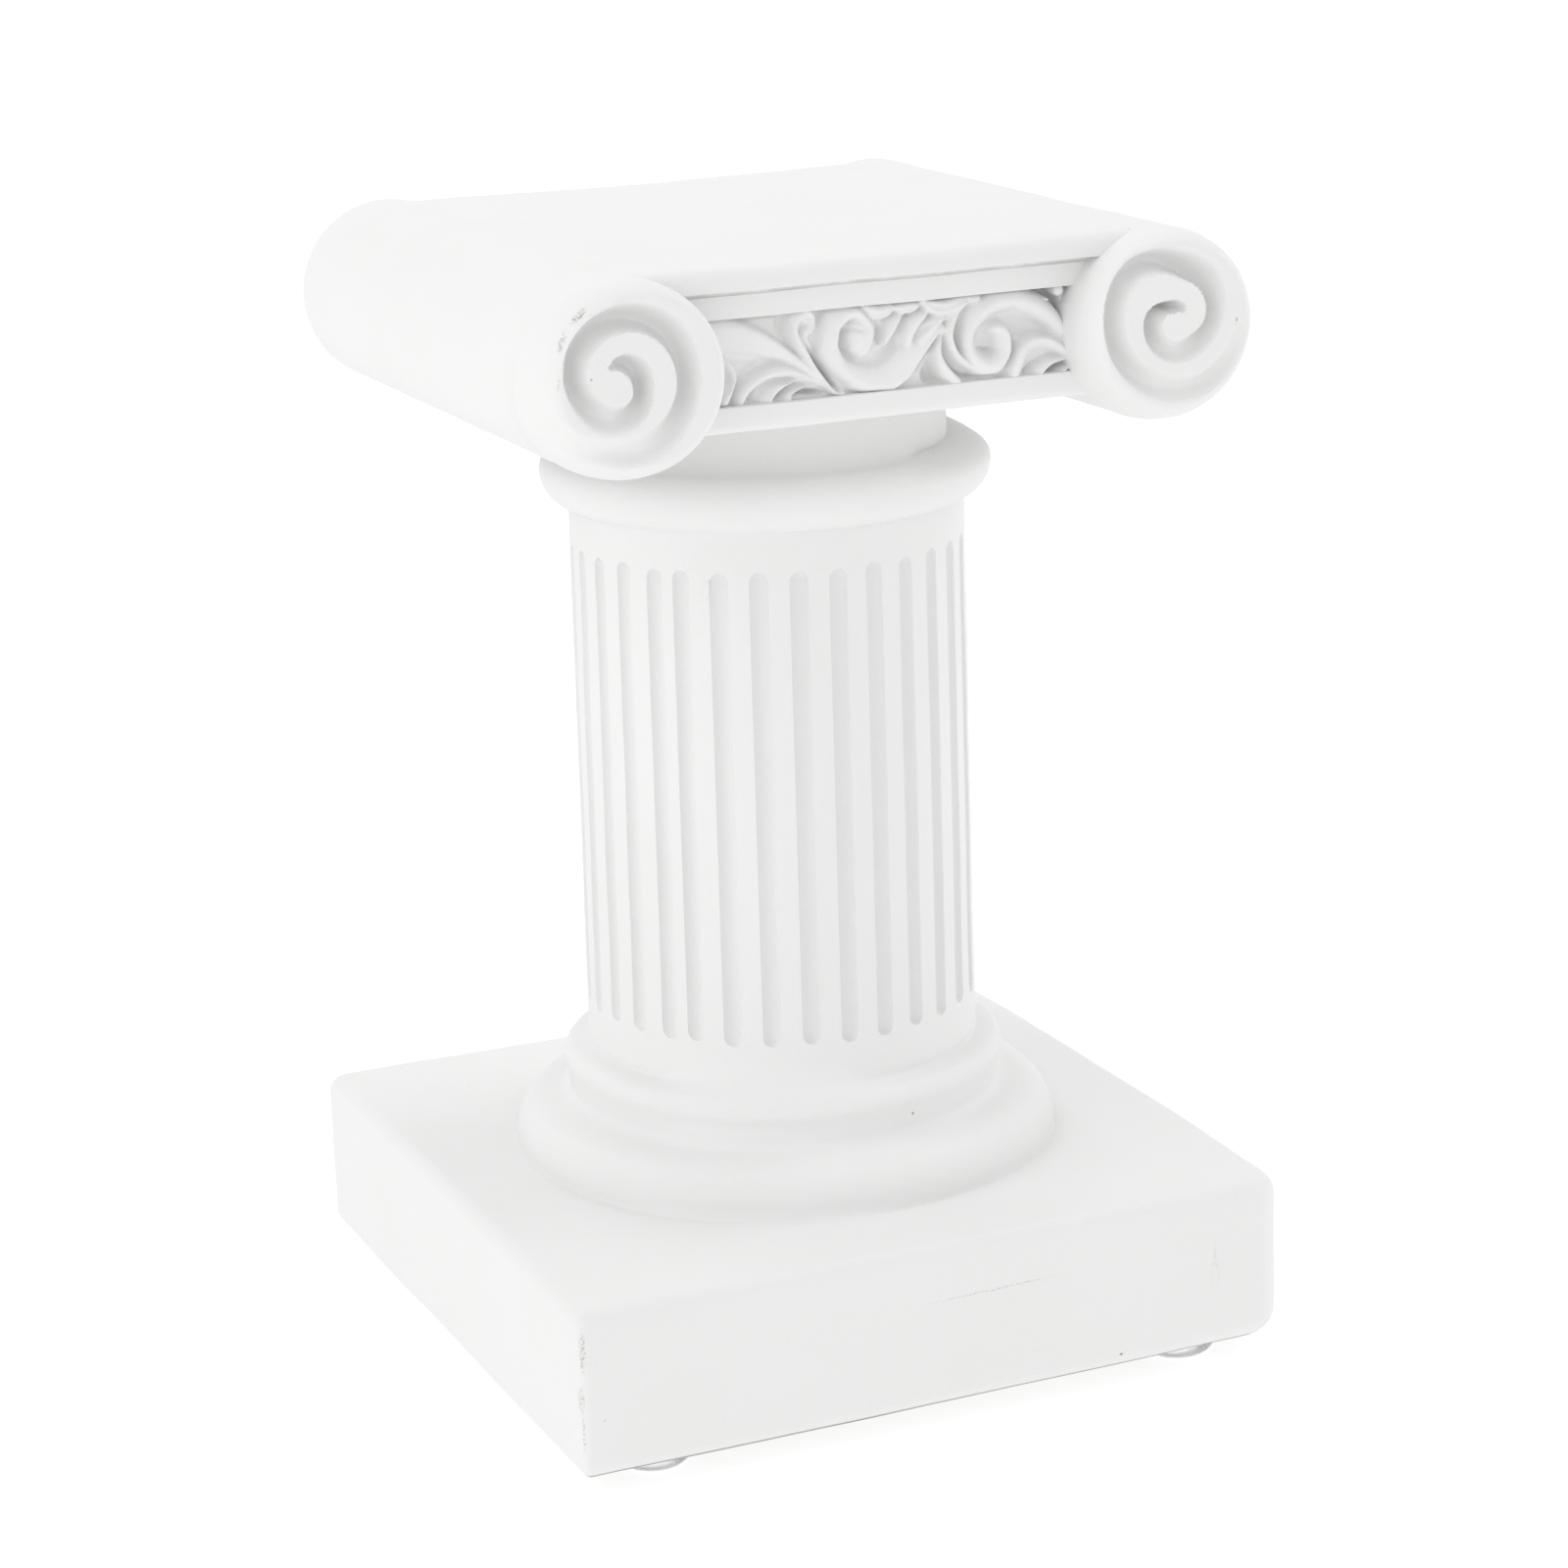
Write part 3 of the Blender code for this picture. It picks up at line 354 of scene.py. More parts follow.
# Cuts of the frieze, picked in the same way: how far over the frieze's floor their edges are, and points as
# (column, row, half width, depth)
CUTS = {
    "lip_left": (1.6, (
        (757, 326, 1.2, 0.7), (780, 324, 1.4, 1.1), (803, 321.5, 1.2, 0.8),
    )),
    "lip_middle": (1.6, (
        (832, 318.5, 1.0, 0.7), (846, 316.5, 1.3, 1.0), (860, 314.8, 1.3, 1.0), (876, 313, 1.2, 0.9),
    )),
    "lip_petal": (1.7, (
        (927, 307.5, 1.2, 1.0), (934, 306.5, 1.2, 1.0), (938, 309, 1.0, 0.6),
    )),
    "lip_crescent": (1.6, (
        (947, 305.5, 1.0, 1.2), (957, 304.8, 1.7, 2.0), (967, 303.6, 2.0, 2.2), (980, 302, 1.6, 1.6),
        (1004, 299.5, 1.2, 1.0),
    )),
    "lip_right": (1.6, (
        (1004, 299.5, 1.0, 0.5), (1030, 296.5, 0.9, 0.3), (1048, 295, 0.9, 0.3),
    )),
    "deep_ground": (0.4, (
        (796, 325, 5, 0.5), (798, 333, 5, 0.6), (801, 342, 4, 0.6), (806, 350, 3, 0.4),
    )),
    "long_leaf_foot": (1.3, (
        (737, 358, 1.3, 0.3), (752, 359, 1.4, 0.4), (768, 362.5, 1.6, 0.55), (781, 367.5, 2.2, 0.75),
        (790, 368.5, 1.9, 0.75), (803, 371.5, 1.6, 0.6), (815, 376.5, 1.4, 0.55), (828, 384, 1.2, 0.45),
        (842, 393, 1.0, 0.3),
    )),
    "arched_leaf_edge": (1.3, (
        (748, 413, 1.6, 0.8), (751, 404, 1.4, 0.7), (755, 394, 1.3, 0.6), (757, 386, 1.3, 0.6),
        (761, 379, 1.3, 0.5), (768, 373, 1.4, 0.45), (776, 369, 1.6, 0.5), (783, 368, 1.8, 0.5),
    )),
    "low_leaf_edge": (1.2, (
        (767, 411, 2.4, 0.9), (769, 404, 2.0, 0.8), (774, 398, 1.6, 0.6), (781, 393, 1.3, 0.45),
        (790, 389.8, 1.1, 0.4), (800, 388.3, 1.0, 0.3), (812, 389, 0.9, 0.2),
    )),
    "small_leaf_edge": (1.3, (
        (791, 409, 1.8, 1.4), (796, 405, 2.0, 1.4), (802, 399.8, 1.5, 1.2), (809, 395, 1.3, 1.0),
        (816, 391.8, 1.3, 0.9), (824, 394, 0.9, 0.3),
    )),
    "slot": (1.3, (
        (809, 405.3, 1.0, 1.2), (816, 402.4, 1.8, 1.9), (825, 401.2, 2.2, 2.2), (835, 402, 1.8, 1.9),
        (845, 402, 0.9, 0.8),
    )),
    "black_gap": (1.4, (
        (826, 358, 1.0, 1.0), (831, 366, 1.8, 2.6), (838, 376, 2.2, 2.9), (845, 386, 2.2, 2.9),
        (851, 393, 2.1, 2.7), (858, 399, 1.7, 2.0),
    )),
    "tendril_valley": (0.6, (
        (837, 320, 3, 0.5), (835, 334, 3, 0.6), (833, 347, 2.5, 0.6), (831, 358, 1.6, 0.6),
    )),
    "tendril_eye": (1.2, (
        (824, 330, 1.2, 0.5), (821, 333, 2.2, 1.1), (818.5, 337, 1.4, 0.6),
    )),
    "roll_notch": (0.9, (
        (741, 382, 1.4, 0.7), (743, 390, 2.0, 0.9), (741, 400, 1.6, 0.6),
    )),
    "left_eye": (1.4, (
        (881, 337.5, 1.0, 0.3), (875, 336, 1.8, 0.9), (869, 336.5, 2.0, 1.1), (864.5, 341, 1.9, 1.1),
        (862.5, 348, 1.9, 1.1), (862.5, 355, 2.1, 1.0), (865, 361, 2.5, 0.85), (870, 366, 3.2, 0.6),
        (878, 369, 4.2, 0.35), (888, 369.5, 5.0, 0.3), (899, 366, 5.5, 0.45), (908, 360, 6, 0.8),
        (914, 352, 4.5, 1.2), (916, 344, 3.0, 1.0), (919, 336, 2.4, 0.8), (922, 329, 2.0, 0.7),
        (924, 323, 1.6, 0.7),
    )),
    "first_gap": (1.2, (
        (898, 331, 1.4, 0.8), (899, 338, 3.0, 1.1), (900, 346, 3.2, 1.1), (901, 350, 2.4, 0.7),
    )),
    "coil_edge": (1.6, (
        (896, 330, 0.9, 0.7), (896, 338, 1.0, 0.8), (896.5, 347, 1.1, 0.8),
    )),
    "first_petal": (1.6, (
        (879, 313, 1.0, 0.6), (883, 319, 1.3, 0.8), (888, 325, 1.2, 0.6), (894, 329, 1.0, 0.6),
        (902, 327.3, 1.2, 0.9), (909, 323.5, 1.3, 0.9), (913, 320, 1.5, 1.0), (918, 320, 1.4, 0.9),
    )),
    "petal_joint": (1.7, (
        (906, 311, 0.9, 0.2), (910, 315, 0.9, 0.25), (914, 319, 0.9, 0.3),
    )),
    "second_petal": (1.6, (
        (923, 322.5, 1.2, 0.9), (928, 323, 1.3, 1.0), (933, 320.7, 1.2, 0.8), (938, 317.8, 1.1, 0.5),
        (944, 319, 0.8, 0.25), (950, 322, 0.9, 0.3), (957, 324, 1.0, 0.35), (964, 323, 0.9, 0.3),
        (968, 321.3, 0.8, 0.2),
    )),
    "crescent_ground": (0.8, (
        (958, 307.5, 1.2, 0.2), (972, 306.5, 1.6, 0.3), (988, 304, 1.6, 0.3), (1000, 301.5, 1.0, 0.2),
    )),
    "finger_joint": (1.4, (
        (953, 329.5, 1.2, 0.4), (947, 333.5, 1.8, 0.7), (941, 338.5, 2.2, 0.9), (937, 344.5, 1.9, 0.7),
        (934, 351, 1.2, 0.3),
    )),
    "sharp_edge": (1.5, (
        (963, 338.5, 1.0, 0.5), (957, 347, 1.4, 1.1), (950, 358, 1.7, 1.3), (943, 369, 1.8, 1.4),
        (936, 379, 1.7, 1.3), (929, 388, 1.4, 0.9), (922, 394, 1.0, 0.4),
    )),
    "triangle": (0.5, (
        (951, 364, 2.2, 0.6), (949, 375, 5.0, 1.2), (949, 384, 7.5, 1.9), (956, 388.5, 3.5, 1.7),
        (966, 390.5, 1.2, 0.7),
    )),
    "spine_edge": (1.4, (
        (964, 350, 1.0, 0.4), (965, 359, 1.4, 0.9), (968, 367.5, 1.6, 1.1), (973, 375, 1.6, 1.2),
        (979, 381, 1.7, 1.4), (986, 384.5, 1.7, 1.7), (994, 385.8, 1.4, 1.5), (1005, 385.5, 1.2, 1.4),
        (1015, 384.3, 1.2, 1.4), (1022, 382.5, 1.1, 1.0),
    )),
    "stem_valley": (0.9, (
        (983, 321, 1.3, 0.4), (981, 328, 2.4, 0.7), (978.5, 336, 3.2, 0.95), (977.5, 345, 3.2, 0.95),
        (979, 354, 2.6, 0.85), (983.5, 362, 1.9, 0.6), (990, 370, 1.3, 0.3),
    )),
    "stem_nick": (1.7, (
        (991, 306, 1.0, 0.8), (989, 311, 1.1, 0.8),
    )),
    "right_eye_rim": (1.6, (
        (999, 348, 0.9, 0.5), (1001, 341, 1.0, 0.6), (1006, 333.5, 1.1, 0.6), (1012, 329, 1.0, 0.5),
        (1020, 326.5, 1.2, 0.6), (1027, 328.3, 1.3, 0.7), (1033, 335.5, 1.4, 0.8), (1036.5, 344, 1.7, 1.0),
        (1037, 354, 2.2, 1.0), (1034, 364, 1.9, 0.9), (1029, 374, 1.6, 0.8), (1023, 382, 1.3, 0.9),
    )),
    "right_eye_dish": (1.0, (
        (1007, 338, 5.0, 0.3), (1008, 347, 7.0, 0.45), (1010, 354, 6, 0.5),
    )),
    "right_eye_slit": (1.2, (
        (1002, 356, 1.2, 0.8), (1008, 357.8, 1.6, 1.4), (1015, 358, 1.4, 1.2), (1019, 357, 0.9, 0.4),
    )),
    "right_valley": (0.8, (
        (1027, 325, 3, 0.4), (1036, 330, 7, 0.8), (1047, 334, 8.5, 1.0), (1058, 335, 7, 0.8),
        (1070, 337.5, 4, 0.4),
    )),
    "right_leaf_edge": (1.3, (
        (1036, 344, 1.2, 0.8), (1043, 343.3, 1.4, 0.8), (1050, 340, 2.2, 1.1), (1060, 340.5, 1.3, 0.6),
        (1075, 341, 1.1, 0.5), (1083, 343.7, 1.2, 0.6), (1089, 349.5, 1.2, 0.6), (1094, 358.5, 1.0, 0.4),
    )),
    "right_low_edge": (1.3, (
        (1049, 381, 1.7, 1.0), (1053, 375.5, 1.6, 0.9), (1059, 370.5, 1.4, 0.7), (1067, 366, 1.4, 0.7),
        (1076, 363.5, 1.4, 0.7), (1092, 362.5, 1.0, 0.5),
    )),
    "right_slit": (1.2, (
        (1067, 381.5, 1.2, 1.4), (1071, 379, 2.4, 2.2), (1077, 376, 2.3, 2.0), (1085, 372.5, 1.9, 1.5),
        (1094, 369, 1.5, 1.2),
    )),
    "corner": (0.9, (
        (1054, 295.5, 1.0, 1.4), (1061, 296.5, 2.2, 2.4), (1069, 297.5, 4.2, 2.8), (1076, 301, 6, 2.9),
        (1080, 307, 3.8, 2.9), (1082.5, 315, 2.2, 2.5), (1084.5, 323, 1.6, 1.7), (1087, 334, 1.0, 0.8),
    )),
    "corner_top": (1.2, (
        (1066, 294.5, 1.6, 2.6), (1080, 294, 3.2, 2.9), (1090, 292, 2.0, 2.6),
    )),
    "foot_line": (1.5, (
        (860, 400, 0.8, 0.4), (870, 401, 0.6, 0.25), (880, 402, 0.7, 0.3), (895, 400.5, 0.6, 0.2),
        (912, 397.5, 0.7, 0.25), (925, 393.5, 0.6, 0.2),
    )),
    "foot_left": (1.4, (
        (736, 415.5, 0.9, 0.45), (755, 413.8, 0.9, 0.6), (766, 412.3, 0.9, 0.5), (786, 411, 0.8, 0.3),
    )),
}

# Spiral grooves of the roll ends from their outer ends inwards, picked in the same way, as (column, row,
# outer width, inner width, depth)
LEFT_PICKS = (
    (541, 372, 6, 8, 0.15), (541, 395, 7, 9, 0.4), (546, 412, 8, 10, 0.6), (555, 428, 9, 10, 0.8),
    (567, 441, 9, 10, 0.9), (582, 453, 9, 10, 0.8), (602, 461, 10, 11, 0.75), (624, 465, 11, 12, 0.75),
    (646, 463, 11, 13, 0.8), (667, 456, 11, 13, 0.9), (684, 445, 10, 12, 1.2), (696, 428, 9, 11, 1.6),
    (702, 410, 9, 10, 2.0), (703, 392, 9, 10, 2.2), (701, 374, 9, 10, 2.3), (694, 356, 13, 9, 2.3),
    (682, 342, 15, 8, 2.3), (666, 333, 16, 8, 2.3), (648, 329, 15, 7, 2.3), (630, 330, 12, 8, 2.3),
    (612, 336, 10, 11, 2.2), (598, 346, 8, 12, 2.1), (589, 361, 8, 11, 2.1), (586, 378, 8, 11, 2.2),
    (588, 394, 8, 10, 2.2), (594, 408, 9, 10, 2.0), (604, 419, 10, 11, 1.7), (617, 427, 11, 12, 1.3),
    (631, 430, 11, 11, 1.1), (645, 425, 10, 10, 1.4), (655, 414, 7, 9, 1.9), (660, 402, 5, 11, 2.2),
    (658, 389, 7, 11, 2.1), (652, 379, 9, 9, 2.0), (643, 374, 10, 7, 1.9), (634, 373, 7, 5, 1.6),
    (627, 375, 3, 3, 0.9), (622, 377, 1, 1, 0.3),
)
RIGHT_PICKS = (
    (1267, 330, 5, 8, 0.2), (1266, 345, 6, 9, 0.5), (1260, 360, 8, 9, 0.8), (1250, 374, 9, 10, 0.9),
    (1237, 385, 9, 9, 0.85), (1221, 393, 9, 10, 0.8), (1203, 397, 9, 12, 0.8), (1186, 396, 10, 13, 0.9),
    (1170, 389, 9, 13, 1.1), (1156, 379, 9, 12, 1.5), (1146, 364, 9, 11, 1.9), (1140, 348, 9, 10, 2.0),
    (1137, 331, 7, 12, 2.0), (1138, 314, 8, 12, 2.0), (1142, 297, 8, 14, 2.1), (1151, 283, 9, 13, 2.2),
    (1164, 274, 11, 10, 2.3), (1178, 271, 13, 9, 2.4), (1194, 272, 14, 8, 2.4), (1209, 278, 17, 5, 2.4),
    (1223, 287, 20, 4, 2.4), (1232, 299, 18, 3, 2.4), (1236, 312, 14, 3, 2.3), (1236, 324, 11, 4, 2.1),
    (1231, 337, 11, 7, 1.7), (1223, 348, 10, 9, 1.3), (1211, 357, 8, 9, 1.0), (1199, 360, 8, 9, 1.0),
    (1188, 355, 9, 8, 1.3), (1180, 345, 9, 8, 1.8), (1177, 333, 8, 9, 2.0), (1180, 322, 8, 9, 2.1),
    (1187, 316, 7, 8, 2.3), (1195, 315, 6, 4, 2.5), (1203, 315.5, 5, 3, 1.4), (1209, 317, 3, 2, 0.4),
)


def length(name, description, default):
    return FloatProperty(
        name=name, description=description, default=default, min=0.0, max=1.0, unit="LENGTH", precision=4
    )


def share(name, description, default, high=1.0):
    return FloatProperty(
        name=name, description=description, default=default, min=0.0, max=high, subtype="FACTOR"
    )


def watts(name, description, default):
    return FloatProperty(
        name=name, description=description, default=default, min=0.0, max=20.0, unit="POWER"
    )


def colour(name, description, default):
    return FloatVectorProperty(
        name=name, description=description, default=default, min=0.0, max=1.0, size=3, subtype="COLOR"
    )


class PlinthSizes(bpy.types.PropertyGroup):
    """Sizes of the square plinth."""

    side: length("Side", "Width and depth of the plinth", CASTING_HIGH.x - CASTING_LOW.x)
    height: length("Height", "Height of the plinth", 0.0225)
    corner: length("Corner radius", "Radius of the upright edges", 0.0056)
    front_corner: length("Front left corner", "Radius of the sharper upright edge at the front left", 0.0016)
    bottom: length("Bottom radius", "Radius of the bottom edges", 0.0026)
    front_edge: length("Front edge", "Radius of the front's top edge", 0.0014)
    top_edge: length("Top edges", "Radius of the other top edges", 0.0023)


class ShaftSizes(bpy.types.PropertyGroup):
    """Sizes of everything turned round the column's axis."""

    foot: length("Foot radius", "Radius of the quarter round on the plinth", 0.0365)
    hollow: length("Hollow radius", "Radius of the small hollow over the foot", 0.0290)
    torus: length("Torus radius", "Radius of the torus under the shaft", 0.0295)
    bottom: length("Shaft radius below", "Radius at the bottom of the shaft", 0.0262)
    top: length("Shaft radius above", "Radius at the top of the shaft", 0.0259)
    flute_width: length("Flute width", "Width of a flute", 0.0024)
    flute_depth: length("Flute depth", "Depth of a flute", 0.00112)
    echinus: length("Echinus radius", "Radius of the round moulding over the shaft", 0.0295)
    neck: length("Neck radius", "Radius of the neck under the slab", 0.0238)


class CapitalSizes(bpy.types.PropertyGroup):
    """Sizes of the slab, its frieze and the two rolls."""

    roll: length("Roll radius", "Radius of the rolls", 0.0121)
    roll_length: length("Roll length", "Length of the rolls", 0.0932)
    roll_spacing: length("Roll spacing", "Distance between the axes of the rolls", 0.0718)
    fascia: length("Fascia depth", "Depth of the slab at its top", 0.0816)
    lip: length("Lip depth", "Depth of the slab at the lip over the frieze", 0.0778)
    band: length("Band depth", "Depth of the slab at the band under the frieze", 0.0770)
    floor: length("Frieze floor", "Depth of the slab at the floor of the frieze", 0.0738)
    back_floor: length("Back panel", "Depth of the slab at the plain panel on its back", 0.0760)
    relief: share("Relief", "How far the carving stands out, as a share of its full height", 1.0, 1.5)
    grooves: share("Grooves", "Depth of the rolls' grooves, as a share of their listed depth", 1.55, 2.0)


class PadSizes(bpy.types.PropertyGroup):
    """Sizes of the clear pads."""

    diameter: length("Diameter", "Width of a pad", PAD_HIGH.x - PAD_LOW.x)
    height: length("Height", "Height of a pad", PAD_HIGH.z - PAD_LOW.z)
    flat: length("Flat", "Width of the flat that a pad stands on", 0.0056)


class FinishLook(bpy.types.PropertyGroup):
    """Colours and surfaces of the plaster and of the pads."""

    plaster: colour("Plaster", "Colour of the clean plaster", (0.80, 0.80, 0.797))
    cloudy: colour("Cloudy plaster", "Colour of the duller patches", (0.775, 0.773, 0.768))
    # The mark colour also paints the shade along the plinth's bottom edge
    mark: colour("Marks", "Colour of the dirt in chips, cracks and pinholes", (0.20, 0.18, 0.16))
    roughness: share("Plaster roughness", "Roughness of the plaster", 0.72)
    grain: share("Plaster grain", "How strongly the plaster's grain shows", 0.25)
    # How strong the painted shade along the plinth's bottom edge is
    painted_bottom_shade: share("Underside dirt", "How dark the plinth's underside is", 0.85)
    pad: colour("Pads", "Colour of the clear pads", (0.94, 0.95, 0.95))
    pad_dust: colour("Dusty pads", "Colour of the pads where dust clings to them", (0.86, 0.87, 0.87))
    pad_roughness: share("Pad roughness", "Roughness of the pads", 0.32)


class StageLook(bpy.types.PropertyGroup):
    """Brightness of the floor and of the studio light."""

    floor: colour("Floor", "Colour of the floor", (0.30, 0.30, 0.30))
    glow: share("Floor glow", "Light that the floor gives by itself, like a lit studio table", 0.845, 2.0)
    sky: share("Sky", "Strength of the light from all round", 0.735, 4.0)
    left: watts("Left", "Power of the lamp low in front at the left", 1.25)
    front: watts("Front", "Power of the lamp low in front at the right", 0.55)
    right: watts("Right", "Power of the lamp low at the right", 1.0)
    top_left: watts("Top left", "Power of the lamp high at the left", 2.6)
    top_right: watts("Top right", "Power of the lamp high at the right", 2.3)
    top: watts("Top", "Power of the lamp overhead", 0.55)
    back: watts("Back", "Power of the lamp high behind", 1.95)


class ColumnSettings(bpy.types.PropertyGroup):
    """Everything that a user of the column may change."""

    plinth: PointerProperty(type=PlinthSizes, name="Plinth", description="Sizes of the plinth")
    shaft: PointerProperty(type=ShaftSizes, name="Shaft", description="Sizes of the turned part")
    capital: PointerProperty(type=CapitalSizes, name="Capital", description="Sizes of the capital")
    pads: PointerProperty(type=PadSizes, name="Pads", description="Sizes of the pads")
    finish: PointerProperty(type=FinishLook, name="Finish", description="Colours and surfaces")
    stage: PointerProperty(type=StageLook, name="Stage", description="Floor and lights")


def uneven(points, surface):
    """Soft unevenness of a surface. Each layer adds up seven waves in random directions."""
    rise = 0.0
    for height, wave, seed in RIPPLES[surface]:
        chance = np.random.default_rng(seed)
        directions = chance.normal(size=(3, 7))
        directions /= np.linalg.norm(directions, axis=0)
        lengths = wave * chance.uniform(0.7, 1.6, 7)
        phases = chance.uniform(0, 2 * math.pi, 7)
        rise = rise + height * np.sin(points @ (directions * 2 * math.pi / lengths) + phases).sum(-1) / 3.2
    return rise


def smooth_path(points, steps):
    """Points on a smooth curve through the given rows, with every column carried along."""
    rows = np.asarray(points, float)
    padded = np.vstack([2 * rows[0] - rows[1], rows, 2 * rows[-1] - rows[-2]])
    out = []
    for before, here, after, beyond in zip(padded, padded[1:], padded[2:], padded[3:]):
        for t in np.arange(steps) / steps:
            bend = 2 * before - 5 * here + 4 * after - beyond
            turn = 3 * here - before - 3 * after + beyond
            out.append(0.5 * (2 * here + (after - before) * t + bend * t**2 + turn * t**3))
    out.append(rows[-1])
    return np.array(out)


def along_segment(x, z, start, end):
    """Place along a segment, raw and held to 0 to 1, with the distance from it and the side (1 is left)."""
    dx, dz = end[0] - start[0], end[1] - start[1]
    raw = ((x - start[0]) * dx + (z - start[1]) * dz) / max(dx * dx + dz * dz, 1e-9)
    place = np.clip(raw, 0, 1)
    off_x, off_z = x - start[0] - dx * place, z - start[1] - dz * place
    side = np.where(dx * (z - start[1]) - dz * (x - start[0]) >= 0, 1, -1)
    return raw, place, np.hypot(off_x, off_z), side


def camera_axes():
    """The camera's place, and the directions right, up and back in its picture."""
    azimuth, elevation, roll = map(math.radians, (CAMERA_AZIMUTH, CAMERA_ELEVATION, CAMERA_ROLL))
    level = math.cos(elevation)
    back = np.array([math.sin(azimuth) * level, -math.cos(azimuth) * level, math.sin(elevation)])
    right = np.array([math.cos(azimuth), math.sin(azimuth), 0.0])
    up = np.cross(back, right)
    eye = np.array([0.0, 0.0, CAMERA_AIM_HEIGHT]) + back * CAMERA_DISTANCE + right * CAMERA_SIDE_STEP
    image_right = right * math.cos(roll) + up * math.sin(roll)
    image_up = up * math.cos(roll) - right * math.sin(roll)
    return eye, image_right, image_up, back


def on_plane(column, row, depth):
    """Where a pixel of the photo falls on an upright plane in front of the axis, rounded to 0.01."""
    eye, right, up, back = camera_axes()
    focal = LENS / SENSOR_WIDTH * PHOTO_SIZE
    ray = (right * (column - PHOTO_SIZE / 2) - up * (row - PHOTO_SIZE / 2)) / focal - back
    at = eye + ray * (-depth - eye[1]) / ray[1]
    return round(float(at[0]), 2), round(float(at[2]), 2)


def stroke_rows(picks):
    """A stroke in millimetres as (right, up, left width, right width, height), up from the slab's foot."""
    rows = []
    for i, (column, row, left, right, height) in enumerate(picks):
        before, after = picks[max(i - 1, 0)], picks[min(i + 1, len(picks) - 1)]
        step = math.hypot(after[0] - before[0], after[1] - before[1])
        aside = (after[1] - before[1]) / step, (before[0] - after[0]) / step
        depth = PICKED_FLOOR + height
        here = on_plane(column, row, depth)
        edges = [on_plane(column + aside[0] * w, row + aside[1] * w, depth) for w in (left, -right)]
        widths = [math.dist(here, edge) for edge in edges]
        rows.append([round(value, 1) for value in (here[0], here[1] - SLAB_BOTTOM, *widths, height)])
    return rows


def spot_row(column, row, radius, height, level):
    """A bump or a point of a cut in millimetres as (right, up, radius, height), up from the slab's foot."""
    right, up = on_plane(column, row, PICKED_FLOOR + level)
    return round(right, 1), round(up - SLAB_BOTTOM, 1), round(radius * PIXEL, 2), round(height, 1)


def spiral_groove(picks, side, middle):
    """A spiral with its radius, widths and depth in millimetres at each eighth of a turn."""
    places = np.array([on_plane(column, row, PICKED_ROLL_END) for column, row, *_ in picks])
    right, up = (places - (side * PICKED_ROLL[0], PICKED_ROLL[1]) - middle).T
    outer, inner, depth = np.array(picks)[:, 2:].T * [[PIXEL], [PIXEL], [1.0]]
    turn = np.unwrap(np.arctan2(up, right))
    way = 1 if turn[-1] > turn[0] else -1
    turned = way * (turn - turn[0])
    eighths = np.arange(0, turned[-1] + math.pi / 8, math.pi / 4)
    columns = (np.hypot(right, up), 2), (outer, 2), (inner, 2), (depth, 1)
    rows = []
    for at in eighths:
        rows.append([round(float(np.interp(at, turned, values)), digits) for values, digits in columns])
    return {"centre": middle, "start": round(math.degrees(turn[0]), 1), "way": way, "rows": rows}


def stroke_height(x, z, stroke):
    """Height of one stroke: a crest that falls steeply where it is narrow and gently where it is wide."""
    path = smooth_path(stroke, 4)
    height = np.zeros_like(x)
    last = len(path) - 2
    for i in range(last + 1):
        start, end = path[i], path[i + 1]
        raw, place, distance, side = along_segment(x, z, start, end)
        values = start[2:, None, None] + (end - start)[2:, None, None] * place
        width = np.maximum(np.where(side > 0, values[0], values[1]), 0.1)
        beyond = ((raw < 0) & (i == 0)) | ((raw > 1) & (i == last))
        width = np.where(beyond, np.minimum(width, 0.5), width)
        u = np.clip(distance / width, 0, 1)
        gentle = np.clip((width - 0.7) / 0.8, 0, 1)
        slope = (1 - 0.68 * u**1.7) * np.sqrt(1 - u**10)
        crest = np.sqrt(1 - u**2) * (1 - gentle) + slope * gentle
        height = np.maximum(height, values[2] * crest)
    return height


def softened(field, passes):
    """The field with each value shared a little with its neighbours, as a mould's worn edges are."""
    for _ in range(passes):
        for axis in (0, 1):
            near = np.concatenate([field.take([0], axis), field, field.take([-1], axis)], axis)
            count = field.shape[axis]
            first, middle, last = (near.take(range(k, k + count), axis) for k in (0, 1, 2))
            field = 0.25 * first + 0.5 * middle + 0.25 * last
    return field


def frieze_height(x, z):
    """Height of the whole carving over the frieze's floor, with the deep cuts taken out of it."""
    height = 0.12 + uneven(np.stack([x, 0 * x, z], -1), "frieze")
    for picks in STROKES.values():
        height = np.maximum(height, stroke_height(x, z, stroke_rows(picks)))
    taken = np.zeros_like(x)
    for level, picks in CUTS.values():
        spots = [spot_row(*pick, level) for pick in picks]
        rows = [(right, up, half, half, depth) for right, up, half, depth in spots]
        taken = np.maximum(taken, stroke_height(x, z, rows))
    height = softened(np.maximum(height - 0.8 * taken, FRIEZE_LOWEST), 2)
    for pick in FRIEZE_BUMPS:
        right, up, radius, rise = spot_row(*pick, pick[-1])
        dome = np.clip(1 - ((x - right) ** 2 + (z - up) ** 2) / radius**2, 0, 1)
        height = np.where(dome > 0, np.maximum(height, rise * np.sqrt(dome)), height)
    return height


